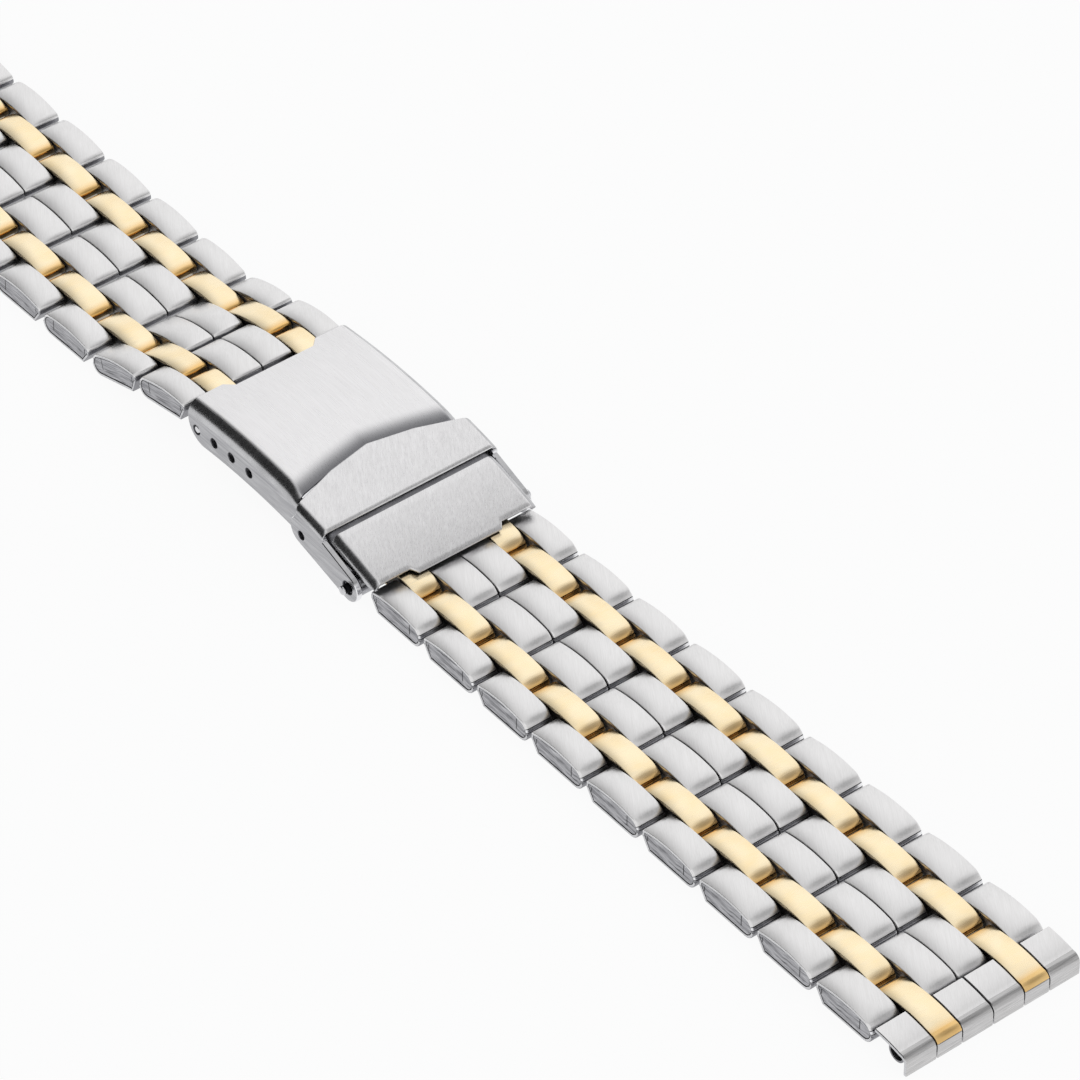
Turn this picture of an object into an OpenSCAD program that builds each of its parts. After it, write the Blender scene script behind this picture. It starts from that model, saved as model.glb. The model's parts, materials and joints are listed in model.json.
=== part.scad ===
// Two-tone folded-link watch bracelet with a fold-over clasp and a hinged safety flap.
// X runs along the bracelet, Y across it and Z up from the surface it lies on.
// Each half is a chain of rows: steel rows and gold rows take turns, half a pitch apart.

/* [Links] */
// Distance from one link to the next link of the same column
link_pitch = 8; // [7.6:0.1:8.4]
// Gap between two neighbouring links of one column
link_gap = 0.5; // [0.45:0.05:0.8]
// Thickness of a link at its middle
link_t = 2.55; // [2.4:0.05:2.7]
// How far the domed top of a link falls from its middle to its ends
dome_drop = 0.5; // [0.3:0.05:0.6]
// Thickness of the sheet that is folded round each link
sheet_t = 0.3; // [0.2:0.05:0.35]
// Radius of the rounded outer end of a link
nose_r = 1.15; // [1:0.05:1.2]
// Length by which the lower inner corner of a link is cut back
heel_run = 0.9; // [0.6:0.1:1.2]
// Height of that cut on the inner end of a link
heel_rise = 1.35; // [1:0.05:1.5]
// Depth by which the folded core lies inside the edge of its sheet
core_recess = 0.12; // [0.05:0.01:0.2]

/* [Columns] */
// Width of one of the two centre steel columns
centre_w = 3.45; // [3.2:0.05:3.6]
// Width of a gold column
gold_w = 2.8; // [2.5:0.05:2.9]
// Gap between neighbouring columns
column_gap = 0.12; // [0.1:0.01:0.2]
// Width of the bracelet at its two ends
end_width = 20; // [19:0.5:22]
// Width of the link rows where they meet the clasp
clasp_side_width = 18.6; // [18.2:0.1:19]

/* [Chain] */
// Steel rows in each half of the bracelet
rows_per_half = 9; // [3:1:9]
// Angles by which the first left rows fall away from the clasp
left_falls = [-4, 9.5, 14.5, 15.5];

/* [Pins] */
// Radius of a link pin
pin_r = 0.5; // [0.4:0.05:0.55]
// Radial play between a pin and a bore that turns on it
pin_play = 0.06; // [0.05:0.01:0.09]
// Distance from the side of the bracelet to the end of a link pin
pin_cover = 0.5; // [0.4:0.1:1]
// Outer radius of a spring bar's tube
bar_r = 0.75; // [0.7:0.05:0.8]
// Wall of a spring bar's tube
bar_wall = 0.25; // [0.2:0.05:0.3]
// Radius of a spring bar's tips
tip_r = 0.45; // [0.4:0.01:0.45]
// Length of a tip that stays inside its tube
tip_inside = 2.5; // [2:0.5:4]

/* [Clasp cover] */
// Radius of the arch that the cover and the flap share
arch_r = 73; // [71:1:76]
// Height of the top of the arch
arch_top = 7; // [6.9:0.1:7.3]
// Distance along X from the first link to the top of the arch
arch_back = 20.9; // [20.5:0.1:21.5]
// Distance along X from the first link to the cover's left edge
cover_left = 28; // [27.8:0.1:28.4]
// Half the width of the cover
cover_half = 9.6; // [9.5:0.05:9.7]
// Thickness of the cover's sheet
cover_t = 0.6; // [0.5:0.05:0.65]
// Depth of the cover's side walls
wall_depth = 4.3; // [4.2:0.05:4.4]
// Radius of the fold along the cover's sides
fold_r = 0.85; // [0.7:0.05:1]
// Depth of the band that the flap lies in
band_depth = 0.7; // [0.68:0.01:0.75]
// Depth of the front plate below the flap's surface
plate_depth = 0.3; // [0.25:0.01:0.35]
// Thickness of the sheet in the band
band_t = 0.5; // [0.4:0.05:0.5]
// Number of adjusting holes in each side wall
hole_count = 4; // [2:1:4]
// Distance between adjusting holes
hole_pitch = 2.75; // [2.5:0.05:2.9]
// Radius of an adjusting hole
hole_r = 0.5; // [0.5:0.01:0.51]
// Depth of the adjusting holes below the top of the arch
hole_depth = 2.75; // [2.7:0.05:2.8]
// Distance from the cover's left edge to the first adjusting hole
hole_inset = 1.35; // [1.2:0.05:1.5]

/* [Safety flap] */
// Thickness of the flap's sheet
flap_t = 0.6; // [0.5:0.05:0.65]
// Gap between the cover and the flap
flap_gap = 0.15; // [0.1:0.01:0.2]
// Radius of the rounded end of a flap arm
arm_end_r = 1.5; // [1.4:0.05:1.6]
// Radius of the snap hole in each flap wall
snap_hole_r = 0.45; // [0.4:0.05:0.5]
// Length of a spring bar tip that stands out of the flap
tip_out = 0.75; // [0.5:0.05:1]

/* [Blades] */
// Thickness of the two folding blades
blade_t = 0.8; // [0.7:0.05:0.85]
// Gap between the folded blades
blade_gap = 0.1; // [0.08:0.01:0.15]
// Half the width of the middle blade
middle_half = 5.6; // [5:0.1:6]
// Half the width of the lower blade
lower_half = 6.3; // [6.1:0.1:6.4]
// Outer radius of the blade hinge knuckles
knuckle_r = 1.25; // [1.15:0.05:1.3]
// Outer radius of the cover hinge knuckle
cover_knuckle_r = 0.8; // [0.75:0.05:0.85]
// Radius of the blade hinge pin
blade_pin_r = 0.6; // [0.5:0.05:0.7]
// Radius of the cover hinge pin
cover_pin_r = 0.45; // [0.4:0.05:0.5]

/* [End pieces] */
// Length of the steel segments on top of an end piece
end_len = 3.3; // [3:0.1:3.6]
// Thickness of the end piece's sheet
end_t = 0.4; // [0.35:0.05:0.45]
// Radius of the rolled front edge
end_roll_r = 0.9; // [0.7:0.05:1]
// Bore radius of the tube that takes the watch's spring bar
lug_bore_r = 0.8; // [0.75:0.05:0.85]
// Outer radius of that tube
lug_tube_r = 1; // [0.95:0.05:1]

/* [Hidden] */
$fn = 96;
STEEL = "Silver";
GOLD = "BurlyWood";

half_pitch = link_pitch / 2;
link_len = link_pitch - link_gap;
axis_z = link_t / 2;                         // height of a flat link's pins
half_t = link_t / 2;
dome_r = (pow(link_len / 2, 2) + pow(dome_drop, 2)) / (2 * dome_drop);
nose_x = link_len / 2 - nose_r;
nose_z = nose_r - half_t;
reach = 0.01;                                // cut and overlap allowance
far_off = 40;                                // longer than anything it cuts

gold_y = column_gap / 2 + centre_w + column_gap;
outer_y = gold_y + gold_w + column_gap;
row_count = 2 * rows_per_half + 1;           // rows 0, 2, 4 are gold and 1, 3, 5 are steel
chain_len = row_count * half_pitch;

// Clasp, with the inner end of the first right link at x = 0
arch_x = -arch_back;
arch_z = arch_top - arch_r;
end_bar_x = link_pitch / 4 - link_gap / 2 - half_pitch;
end_bar_z = arm_end_r;
hole_arch_r = arch_r - hole_depth;
function arch_height(x, r) = arch_z + sqrt(r * r - pow(x - arch_x, 2));
function arch_angle(x, r) = acos((x - arch_x) / r);
first_hole_x = hole_inset - cover_left;
adjust_bar_z = arch_height(first_hole_x, hole_arch_r);
band_edge_near = -10.85;                     // V edge of the cover at its sides
band_edge_mid = -12;                         // V edge where its slope changes
band_edge_tip = -12.9;                       // V edge at the centre line
edge_mid_y = 4.9;
flap_edge_side = -10.1;
flap_step = 0.12;                            // V-shaped gap between cover and flap
flap_right = -6.1;
plate_left = flap_right + 0.63;
plate_right = 0.9;
plate_tongue = 1.6;
tongue_y = 4.9;
tongue_corner_y = 5.4;
cover_notch = 0.9;                           // the cover's left edge steps back at its middle
notch_y = 4.6;
notch_corner_y = 5.5;
wall_right = -4.4;                           // right end of the cover's deep side walls
wall_corner_r = 2.4;
plate_wall = 1.3;                            // depth of the front plate's rolled sides
plate_wall_right = -0.8;                     // right of this the sides stay above the links
plate_wall_low = 2.75;
riser_run = 0.6;                             // length of the steps at the band's edges
riser_t = 0.75;
snap_x = -9.3;
snap_z = 3.1;
snap_out = 0.1;
snap_play = 0.07;
flap_in = cover_half + flap_gap;
flap_half = flap_in + flap_t;
flap_fold_depth = 2;                         // depth of the flap's plate section at its sides
flap_wall_low = 4.4;                         // height at which the flap's walls turn into its arms
flap_left_x = -11;                           // left edge of the walls, at that height
flap_left_low = [-10.9, 3.6];                // lower left corner of the walls
arm_start = [-9, 2];                         // where the lower edge of an arm begins
arm_tilt = 18.7;                             // slope of the arms, in degrees
lobe = [-9.35, 3.55];                        // rounded lobe round the snap hole
lobe_r = 1.6;
recess_r = tip_r + 0.25;                     // countersink round the bar's tip in the flap
recess_depth = 0.2;
cover_hinge_x = -6.4;
blade_hinge_x = -24.6;
blade_hinge_z = knuckle_r;
blade_r = arch_r;
blade_span = end_bar_x - blade_hinge_x;
blade_tilt = atan((end_bar_z - blade_hinge_z) / blade_span);
blade_mid_x = (end_bar_x + blade_hinge_x) / 2;
blade_mid_z = (end_bar_z + blade_hinge_z) / 2;
blade_sag = sqrt(pow(blade_r, 2) - pow(blade_span / 2, 2));
blade_cx = blade_mid_x + blade_sag * sin(blade_tilt);
blade_cz = blade_mid_z - blade_sag * cos(blade_tilt);
function blade_height(x) = blade_cz + sqrt(pow(blade_r, 2) - pow(x - blade_cx, 2));
cover_hinge_z = blade_height(cover_hinge_x) + blade_t / 2 + blade_gap + cover_knuckle_r + 0.06;
blade_knuckle_y = 2.55;                      // edge between the two blades' knuckles
blade_knuckle_end = 6.2;
cover_knuckle_half = middle_half - 0.2;
wing_half = cover_half - cover_t - 0.1;      // half width of the lower blade's broad end
wing_left = -7.5;
knuckle_play = 0.1;

// Chain, measured outwards from the clasp on both sides
left_start = -first_hole_x;
right_start = end_bar_x;
function total(v, n, i = 0) = i >= n ? 0 : v[i] + total(v, n, i + 1);
left_drop = half_pitch * total([for (a = left_falls) sin(a)], len(left_falls));
left_last = asin((adjust_bar_z - left_drop - axis_z) / half_pitch);
right_first = asin((end_bar_z - axis_z) / half_pitch);
function fall(side, k) =
    side > 0 ? (k == 0 ? right_first : 0)
    : k < len(left_falls) ? left_falls[k]
    : k == len(left_falls) ? left_last : 0;
function pin_u(side, k) =
    (side > 0 ? right_start : left_start)
    + half_pitch * total([for (i = [0:row_count]) cos(fall(side, i))], k);
function pin_z(side, k) =
    (side > 0 ? end_bar_z : adjust_bar_z)
    - half_pitch * total([for (i = [0:row_count]) sin(fall(side, i))], k);
function half_width(s) =
    clasp_side_width / 2 + (end_width - clasp_side_width) / 2 * min(s / (chain_len - half_pitch), 1);

// End piece, in the frame of the last row
seg_x = -link_pitch / 4 + link_len / 2 - link_pitch / 4 + 0.35;
end_x = seg_x + end_len + end_roll_r;
tube_x = seg_x + 2.2;
tube_z = lug_tube_r - half_t;
cap_sheet = 0.3;
cap_lip = 1;
cap_step = 0.05;
tube_inset = 0.6;
groove_depth = 0.25;
end_u = half_pitch / 2 + end_x;
left_end = -(pin_u(-1, row_count - 1) + end_u);
right_end = pin_u(1, row_count - 1) + end_u;
mid_x = (left_end + right_end) / 2;
function row_low(side, k) = (pin_z(side, k) + pin_z(side, k + 1)) / 2
    + nose_z * cos(fall(side, k)) - nose_x * sin(fall(side, k)) - nose_r;
floor_lift = -min([for (side = [-1, 1], k = [0:row_count - 1]) row_low(side, k)]);

SIDE_NAMES = ["left", "right"];

// Extrudes an XZ outline along Y from y0 to y1
module across(y0, y1) {
    translate([0, y1, 0]) rotate([90, 0, 0]) linear_extrude(y1 - y0) children();
}

module both_sides() {
    children();
    mirror([0, 1, 0]) children();
}

// A rod or bore along Y
module rod(x, z, r, y0, y1) {
    translate([x, y1, z]) rotate([90, 0, 0]) cylinder(r = r, h = y1 - y0);
}

// Moves the bracelet so that it stands centred on the origin, its lowest point at Z 0
module centred() {
    translate([-mid_x, 0, floor_lift]) children();
}

// Puts a row, drawn with its outer end towards +X, on its place in the chain
module on_row(side, k) {
    u = (pin_u(side, k) + pin_u(side, k + 1)) / 2;
    z = (pin_z(side, k) + pin_z(side, k + 1)) / 2;
    centred() mirror([side > 0 ? 0 : 1, 0, 0]) translate([u, 0, z]) rotate([0, fall(side, k), 0]) children();
}

// Side outline of a link, drawn in by inset for the space inside its sheet
module link_outline(inset = 0) {
    half = link_len / 2;
    intersection() {
        translate([0, half_t - dome_r]) circle(dome_r - inset, $fn = 360);
        union() {
            translate([nose_x, nose_z]) circle(nose_r - inset);
            polygon([[-half + inset, half_t], [-half + inset, heel_rise - half_t],
                     [-half + heel_run + inset, inset - half_t], [nose_x, inset - half_t], [nose_x, half_t]]);
        }
    }
}

module link_sheet(y0, y1) {
    across(y0, y1) difference() {
        link_outline();
        link_outline(sheet_t);
    }
}

module link_core(y0, y1) {
    across(y0 + core_recess, y1 - core_recess) link_outline(sheet_t);
}

// Plan of the bracelet round row k, narrowing towards the clasp
module row_plan(k, inset = 0) {
    s = (k + 0.5) * half_pitch;
    a = half_width(s - link_pitch) - inset;
    b = half_width(s + link_pitch) - inset;
    linear_extrude(far_off, center = true)
        polygon([[-link_pitch, -a], [link_pitch, -b], [link_pitch, b], [-link_pitch, a]]);
}

module row_pins(k, r, trim = 0) {
    y = half_width((k + 0.5) * half_pitch) - pin_cover + trim;
    for (x = [-half_pitch / 2, half_pitch / 2]) rod(x, 0, r, -y, y);
}

// A steel row: four folded links held on the two pins they share with the gold rows
module steel_row(side, k) {
    wide = end_width / 2 + 1;
    color(STEEL) on_row(side, k) {
        both_sides() {
            link_sheet(column_gap / 2, column_gap / 2 + centre_w);
            difference() {
                link_core(column_gap / 2, column_gap / 2 + centre_w);
                row_pins(k, pin_r);
            }
            intersection() {
                link_sheet(outer_y, wide);
                row_plan(k);
            }
            difference() {
                intersection() {
                    link_core(outer_y, wide);
                    row_plan(k, core_recess);
                }
                row_pins(k, pin_r);
            }
        }
        row_pins(k, pin_r);
    }
}

// A gold row: two folded links that turn on the pins of the steel rows beside them
module gold_row(side, k) {
    inner_bore = (k == 0 ? bar_r : pin_r) + pin_play;
    color(GOLD) on_row(side, k) both_sides() {
        link_sheet(gold_y, gold_y + gold_w);
        difference() {
            link_core(gold_y, gold_y + gold_w);
            rod(-half_pitch / 2, 0, inner_bore, 0, far_off);
            rod(half_pitch / 2, 0, pin_r + pin_play, 0, far_off);
        }
    }
}

// Outer outline of an end piece from its steel segments to the rolled front
module end_outline(inset = 0) {
    intersection() {
        translate([0, half_t - dome_r]) circle(dome_r - inset, $fn = 360);
        union() {
            translate([end_x - end_roll_r, end_front_top() - end_roll_r]) circle(end_roll_r - inset);
            translate([-half_pitch, -half_t]) square([half_pitch + end_x - end_roll_r, link_t]);
            translate([-half_pitch, -half_t])
                square([half_pitch + end_x - inset, end_front_top() - end_roll_r + half_t]);
        }
    }
}
function end_front_top() = half_t - dome_r + sqrt(pow(dome_r, 2) - pow(end_x - end_roll_r, 2)) + 0.02;

module end_sheet_outline() {
    difference() {
        end_outline();
        end_outline(end_t);
        translate([-half_pitch, -half_t]) square([half_pitch + seg_x, link_t]);
        translate([seg_x - 1, -half_t - 1]) square([end_x, 1.35]);
    }
}

// Sheet body of an end piece: four steel segments, one rolled front and the spring bar's tube
module end_sheet(side) {
    edge = end_width / 2;
    cap_edge = gold_y - column_gap;
    color(STEEL) on_row(side, row_count - 1) difference() {
        union() {
            difference() {
                across(-edge, edge) end_sheet_outline();
                both_sides() {
                    across(cap_edge, outer_y) intersection() {
                        end_outline(-1);
                        translate([-half_pitch, half_t - cap_lip - cap_step]) square([far_off, 2]);
                    }
                }
                for (y = [-column_gap / 2, -outer_y, -gold_y, gold_y - column_gap, outer_y - column_gap])
                    across(y, y + column_gap) difference() {
                        end_outline(-1);
                        end_outline(groove_depth);
                    }
            }
            rod(tube_x, tube_z, lug_tube_r, -edge + tube_inset, edge - tube_inset);
        }
        rod(tube_x, tube_z, lug_bore_r, -far_off, far_off);
    }
}

// Gold caps of an end piece: the inner end is a link that turns on the last pin
module end_caps(side) {
    color(GOLD) on_row(side, row_count - 1) both_sides() difference() {
        across(gold_y, gold_y + gold_w) union() {
            intersection() {
                link_outline();
                translate([-half_pitch, -half_t]) square([half_pitch + seg_x + 0.4, link_t]);
            }
            intersection() {
                difference() {
                    end_outline();
                    end_outline(cap_sheet);
                }
                translate([seg_x, half_t - cap_lip]) square([far_off, 2]);
            }
        }
        rod(-half_pitch / 2, 0, pin_r + pin_play, 0, far_off);
    }
}

// Section of a folded channel, as radius and distance from the centre line
module channel_section(top, half, wall, depth, fold) {
    low = top - depth;
    intersection() {
        translate([low, -half]) square([depth, 2 * half]);
        difference() {
            union() {
                translate([low, -half]) square([depth - fold, 2 * half]);
                translate([low, -half + fold]) square([depth, 2 * (half - fold)]);
                for (y = [-half + fold, half - fold]) translate([top - fold, y]) circle(fold);
            }
            translate([low - reach, -half + wall]) square([depth - fold + reach, 2 * (half - wall)]);
            translate([low - reach, -half + fold]) square([depth - wall + reach, 2 * (half - fold)]);
            for (y = [-half + fold, half - fold]) translate([top - fold, y]) circle(fold - wall);
        }
    }
}

// Sweeps a section round the arch from x0 on the left to x1 on the right
module along_arch(x0, x1, cx = arch_x, cz = arch_z, r = arch_r) {
    a = acos((x1 - cx) / r);
    b = acos((x0 - cx) / r);
    translate([cx, 0, cz]) rotate([90, 0, 0]) rotate([0, 0, a]) rotate_extrude(angle = b - a, $fn = 720)
        children();
}

module plan_prism(points) {
    linear_extrude(far_off, center = true) polygon(concat(points, [for (i = [len(points) - 1:-1:0])
        [points[i][0], -points[i][1]]]));
}

// Everything left of the cover's V edge, shifted by dx
module left_of_v(dx) {
    plan_prism([[-far_off, 0], [-far_off, far_off / 2], [band_edge_near + dx, far_off / 2],
        [band_edge_near + dx, cover_half], [band_edge_mid + dx, edge_mid_y], [band_edge_tip + dx, 0]]);
}

module cover_walls_outline() {
    low = arch_height(-cover_left, arch_r - wall_depth);
    difference() {
        translate([-far_off, -far_off]) square([far_off + wall_right, 2 * far_off]);
        difference() {
            translate([-cover_left - 1, low - 2]) square([wall_corner_r + 1, wall_corner_r + 2]);
            translate([wall_corner_r - cover_left, low + wall_corner_r]) circle(wall_corner_r);
        }
    }
}

module cover_holes() {
    for (i = [0:hole_count - 1]) {
        x = first_hole_x + i * hole_pitch;
        rod(x, arch_height(x, hole_arch_r), hole_r, -far_off, far_off);
    }
    rod(cover_hinge_x, cover_hinge_z, cover_pin_r, -far_off, far_off);
}

// Section of the steps that join the band to the plates on its two sides
module riser_section() {
    half = cover_half - fold_r - 0.1;
    translate([arch_r - band_depth - band_t + 0.05, -half]) square([riser_t, 2 * half]);
}

// Clasp cover: main plate, V-shaped band under the flap, front plate and side walls
module clasp_cover() {
    color(STEEL) centred() difference() {
        union() {
            intersection() {
                along_arch(-cover_left, band_edge_near + 1)
                    channel_section(arch_r, cover_half, cover_t, wall_depth, fold_r);
                left_of_v(0);
                across(-far_off, far_off) cover_walls_outline();
            }
            difference() {
                intersection() {
                    along_arch(band_edge_tip - 1, band_edge_near + 0.5) riser_section();
                    left_of_v(0);
                }
                left_of_v(-riser_run);
            }
            difference() {
                intersection() {
                    along_arch(band_edge_tip - 0.5, plate_left + 0.5)
                        channel_section(arch_r - band_depth, cover_half, band_t, wall_depth - band_depth,
                            fold_r);
                    across(-far_off, far_off) cover_walls_outline();
                }
                left_of_v(0);
            }
            along_arch(plate_left + 0.05, plate_left + riser_run) riser_section();
            intersection() {
                along_arch(plate_left, plate_tongue)
                    channel_section(arch_r - plate_depth, cover_half, band_t, plate_wall, fold_r);
                across(-far_off, far_off) {
                    translate([-far_off, -far_off]) square([far_off + plate_wall_right, 2 * far_off]);
                    translate([-far_off, plate_wall_low]) square(2 * far_off);
                }
                plan_prism([[-far_off, 0], [-far_off, far_off / 2], [plate_right, far_off / 2],
                    [plate_right, tongue_corner_y], [plate_tongue, tongue_y], [plate_tongue, 0]]);
            }
        }
        cover_holes();
        plan_prism([[-cover_left - 1, 0], [-cover_left - 1, notch_corner_y], [-cover_left, notch_corner_y],
            [-cover_left + cover_notch, notch_y], [-cover_left + cover_notch, 0]]);
    }
}

// Two small studs on the cover's walls that face the snap holes in the flap
module snap_studs() {
    color(STEEL) centred() both_sides()
        rod(snap_x, snap_z, snap_hole_r - snap_play, cover_half, cover_half + snap_out);
}

module cover_hinge_pin() {
    color(STEEL) centred() rod(cover_hinge_x, cover_hinge_z, cover_pin_r, -cover_half, cover_half);
}

// Flat strip of blade, swept on the blades' arch
module blade_strip(x0, x1, low, half) {
    along_arch(x0, x1, blade_cx, blade_cz, blade_r)
        translate([blade_r + low, -half]) square([blade_t, 2 * half]);
}

// Middle blade: from the cover's hinge on the right to the blade hinge on the left
module middle_blade() {
    low = blade_t / 2 + blade_gap;
    color(STEEL) centred() difference() {
        union() {
            blade_strip(blade_hinge_x + 0.3, cover_hinge_x, low, middle_half);
            rod(cover_hinge_x, cover_hinge_z, cover_knuckle_r, -cover_knuckle_half, cover_knuckle_half);
            rod(blade_hinge_x, blade_hinge_z, knuckle_r, -blade_knuckle_y, blade_knuckle_y);
        }
        rod(cover_hinge_x, cover_hinge_z, cover_pin_r + pin_play, -far_off, far_off);
        rod(blade_hinge_x, blade_hinge_z, blade_pin_r + pin_play, -far_off, far_off);
        both_sides() rod(blade_hinge_x, blade_hinge_z, knuckle_r + knuckle_play, blade_knuckle_y, far_off);
    }
}

module blade_hinge_pin() {
    color(STEEL) centred() rod(blade_hinge_x, blade_hinge_z, blade_pin_r, -blade_knuckle_end, blade_knuckle_end);
}

// Lower blade: from the blade hinge on the left to the end bar on the right
module lower_blade() {
    color(STEEL) centred() difference() {
        union() {
            blade_strip(blade_hinge_x, end_bar_x, -blade_t / 2, lower_half);
            blade_strip(wing_left, end_bar_x, -blade_t / 2, wing_half);
            rod(end_bar_x, end_bar_z, knuckle_r, -gold_y + column_gap, gold_y - column_gap);
            both_sides() {
                rod(blade_hinge_x, blade_hinge_z, knuckle_r, blade_knuckle_y + knuckle_play, blade_knuckle_end);
                rod(end_bar_x, end_bar_z, knuckle_r, outer_y + column_gap / 2, cover_half);
            }
        }
        rod(blade_hinge_x, blade_hinge_z, blade_pin_r, -far_off, far_off);
        rod(end_bar_x, end_bar_z, bar_r, -far_off, far_off);
        rod(blade_hinge_x, blade_hinge_z, knuckle_r + knuckle_play,
            -blade_knuckle_y - knuckle_play, blade_knuckle_y + knuckle_play);
        both_sides() rod(end_bar_x, end_bar_z, half_pitch / 2,
            gold_y - column_gap, outer_y + column_gap / 2);
    }
}

// Side wall of the flap with its arm and a hole for the bar's tip, as an XZ outline
module flap_wall_outline(bar_hole_r) {
    arm_side = arm_end_r * [sin(arm_tilt), cos(arm_tilt)];
    difference() {
        union() {
            intersection() {
                polygon([[flap_edge_side, arch_top], [flap_right, arch_top], [flap_right, flap_wall_low],
                         [end_bar_x, end_bar_z] + arm_side, [end_bar_x, end_bar_z],
                         [end_bar_x, end_bar_z] - arm_side,
                         arm_start, flap_left_low, [flap_left_x, flap_wall_low]]);
                translate([arch_x, arch_z]) circle(arch_r - fold_r, $fn = 720);
            }
            translate([end_bar_x, end_bar_z]) circle(arm_end_r);
            translate(lobe) circle(lobe_r);
        }
        translate([end_bar_x, end_bar_z]) circle(bar_hole_r);
        translate([snap_x, snap_z]) circle(snap_hole_r);
    }
}

// Safety flap: a V-edged plate flush with the cover, and two arms to the end bar
module safety_flap() {
    color(STEEL) centred() {
        difference() {
            along_arch(band_edge_tip - 0.5, flap_right)
                channel_section(arch_r, flap_half, flap_t, flap_fold_depth, fold_r);
            plan_prism([[-far_off, 0], [-far_off, far_off / 2], [flap_edge_side, far_off / 2],
                [flap_edge_side, flap_half], [band_edge_mid + flap_step, edge_mid_y],
                [band_edge_tip + flap_step, 0]]);
        }
        both_sides() {
            across(flap_in, flap_half - recess_depth) flap_wall_outline(tip_r + pin_play);
            across(flap_half - recess_depth, flap_half) flap_wall_outline(recess_r);
        }
    }
}

// Tube, tips and spring of a spring bar
module bar_tube(x, z, half) {
    color(STEEL) centred() difference() {
        rod(x, z, bar_r, -half, half);
        rod(x, z, bar_r - bar_wall, -far_off, far_off);
    }
}

module bar_tips(x, z, half, out, r, groove) {
    color(STEEL) centred() both_sides() difference() {
        union() {
            rod(x, z, r, half - reach, out);
            rod(x, z, bar_r - bar_wall - 0.03, half - tip_inside, half);
        }
        difference() {
            rod(x, z, far_off / 4, out - groove * 3, out - groove * 2);
            rod(x, z, r - (groove > 0 ? 0.1 : 0), out - groove * 3 - 1, out);
        }
    }
}

module bar_spring(x, z, half) {
    color(STEEL) centred() difference() {
        rod(x, z, bar_r - bar_wall - 0.05, tip_inside - half, half - tip_inside);
        rod(x, z, bar_r - bar_wall - 0.2, -far_off, far_off);
    }
}

end_tube_half = cover_half - 0.1;
adjust_tube_half = cover_half - cover_t - 0.1;
tip_groove = 0.15;

clasp_cover();
snap_studs();
cover_hinge_pin();
middle_blade();
blade_hinge_pin();
lower_blade();
safety_flap();
bar_tube(end_bar_x, end_bar_z, end_tube_half);  // end_bar_tube
bar_tips(end_bar_x, end_bar_z, end_tube_half, flap_half + tip_out, tip_r, tip_groove);  // end_bar_tips
bar_spring(end_bar_x, end_bar_z, end_tube_half);  // end_bar_spring
bar_tube(first_hole_x, adjust_bar_z, adjust_tube_half);  // adjust_bar_tube
bar_tips(first_hole_x, adjust_bar_z, adjust_tube_half, cover_half - 0.05, hole_r - pin_play, 0);  // adjust_bar_tips
bar_spring(first_hole_x, adjust_bar_z, adjust_tube_half);  // adjust_bar_spring
for (s = [0, 1]) {
    side = 2 * s - 1;
    for (i = [0:rows_per_half - 1])
        gold_row(side, 2 * i);
    for (i = [1:rows_per_half])
        steel_row(side, 2 * i - 1);
    end_sheet(side);
    end_caps(side);
}
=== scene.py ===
"""Two-tone folded-link watch bracelet with a fold-over clasp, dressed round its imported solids."""

import json
import logging
import math
from dataclasses import dataclass, field
from enum import Enum, IntEnum

import bmesh
import bpy
import numpy as np
from mathutils import Matrix, Vector
from mathutils.geometry import tessellate_polygon


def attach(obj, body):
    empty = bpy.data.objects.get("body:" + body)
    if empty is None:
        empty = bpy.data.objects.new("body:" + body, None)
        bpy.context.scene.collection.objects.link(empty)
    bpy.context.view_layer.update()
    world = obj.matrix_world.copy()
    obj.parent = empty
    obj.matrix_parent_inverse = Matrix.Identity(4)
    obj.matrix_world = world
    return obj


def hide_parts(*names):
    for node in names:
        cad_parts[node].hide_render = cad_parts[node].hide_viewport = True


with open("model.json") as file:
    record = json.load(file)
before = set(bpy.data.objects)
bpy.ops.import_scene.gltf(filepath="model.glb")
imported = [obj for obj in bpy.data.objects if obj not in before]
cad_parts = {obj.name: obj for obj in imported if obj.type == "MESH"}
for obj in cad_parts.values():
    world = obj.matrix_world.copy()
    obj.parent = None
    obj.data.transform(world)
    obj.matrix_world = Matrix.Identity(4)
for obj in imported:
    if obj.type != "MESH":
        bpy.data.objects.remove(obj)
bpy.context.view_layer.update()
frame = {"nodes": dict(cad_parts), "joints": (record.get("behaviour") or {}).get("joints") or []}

Array = np.ndarray
Pair = tuple[float, float]
Tree = bpy.types.NodeTree
Node = bpy.types.Node
Socket = bpy.types.NodeSocket
MM = 0.001
MERGE = 0.002 * MM
TINY = 1e-9
SHARP_ANGLE = math.radians(33.0)
MM_MAP = "face_mm"
WALL_FROM = 84.0
FOLD_FROM = 20.0
SIGNS = (-1, 1)
log = logging.getLogger("bracelet")


class Side(Enum):
    """The two halves of the bracelet, with the sign of X on which each lies."""

    LEFT = -1
    RIGHT = 1

    @property
    def word(self) -> str:
        """The half's name as it stands in the names of nodes and bodies."""
        return self.name.lower()


class Skin(IntEnum):
    """Material slots of the link rows and end pieces, in the order in which a mesh holds them."""

    TOP = 0
    SEAM = 1
    STRIP = 2
    UNDER = 3
    EDGE = 4
    CORE = 5
    FRONT = 6


class Sheet(IntEnum):
    """Material slots of the clasp's sheets. The flap has only the first five."""

    TOP = 0
    CUT = 1
    INSIDE = 2
    WALL = 3
    FOLD = 4
    FRONT = 5
    RECESS = 6


def points_of(*parts: Array | float) -> Array:
    """Joins X and Z, or X, Y and Z, into points."""
    return np.stack(np.broadcast_arrays(*parts), -1)


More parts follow.
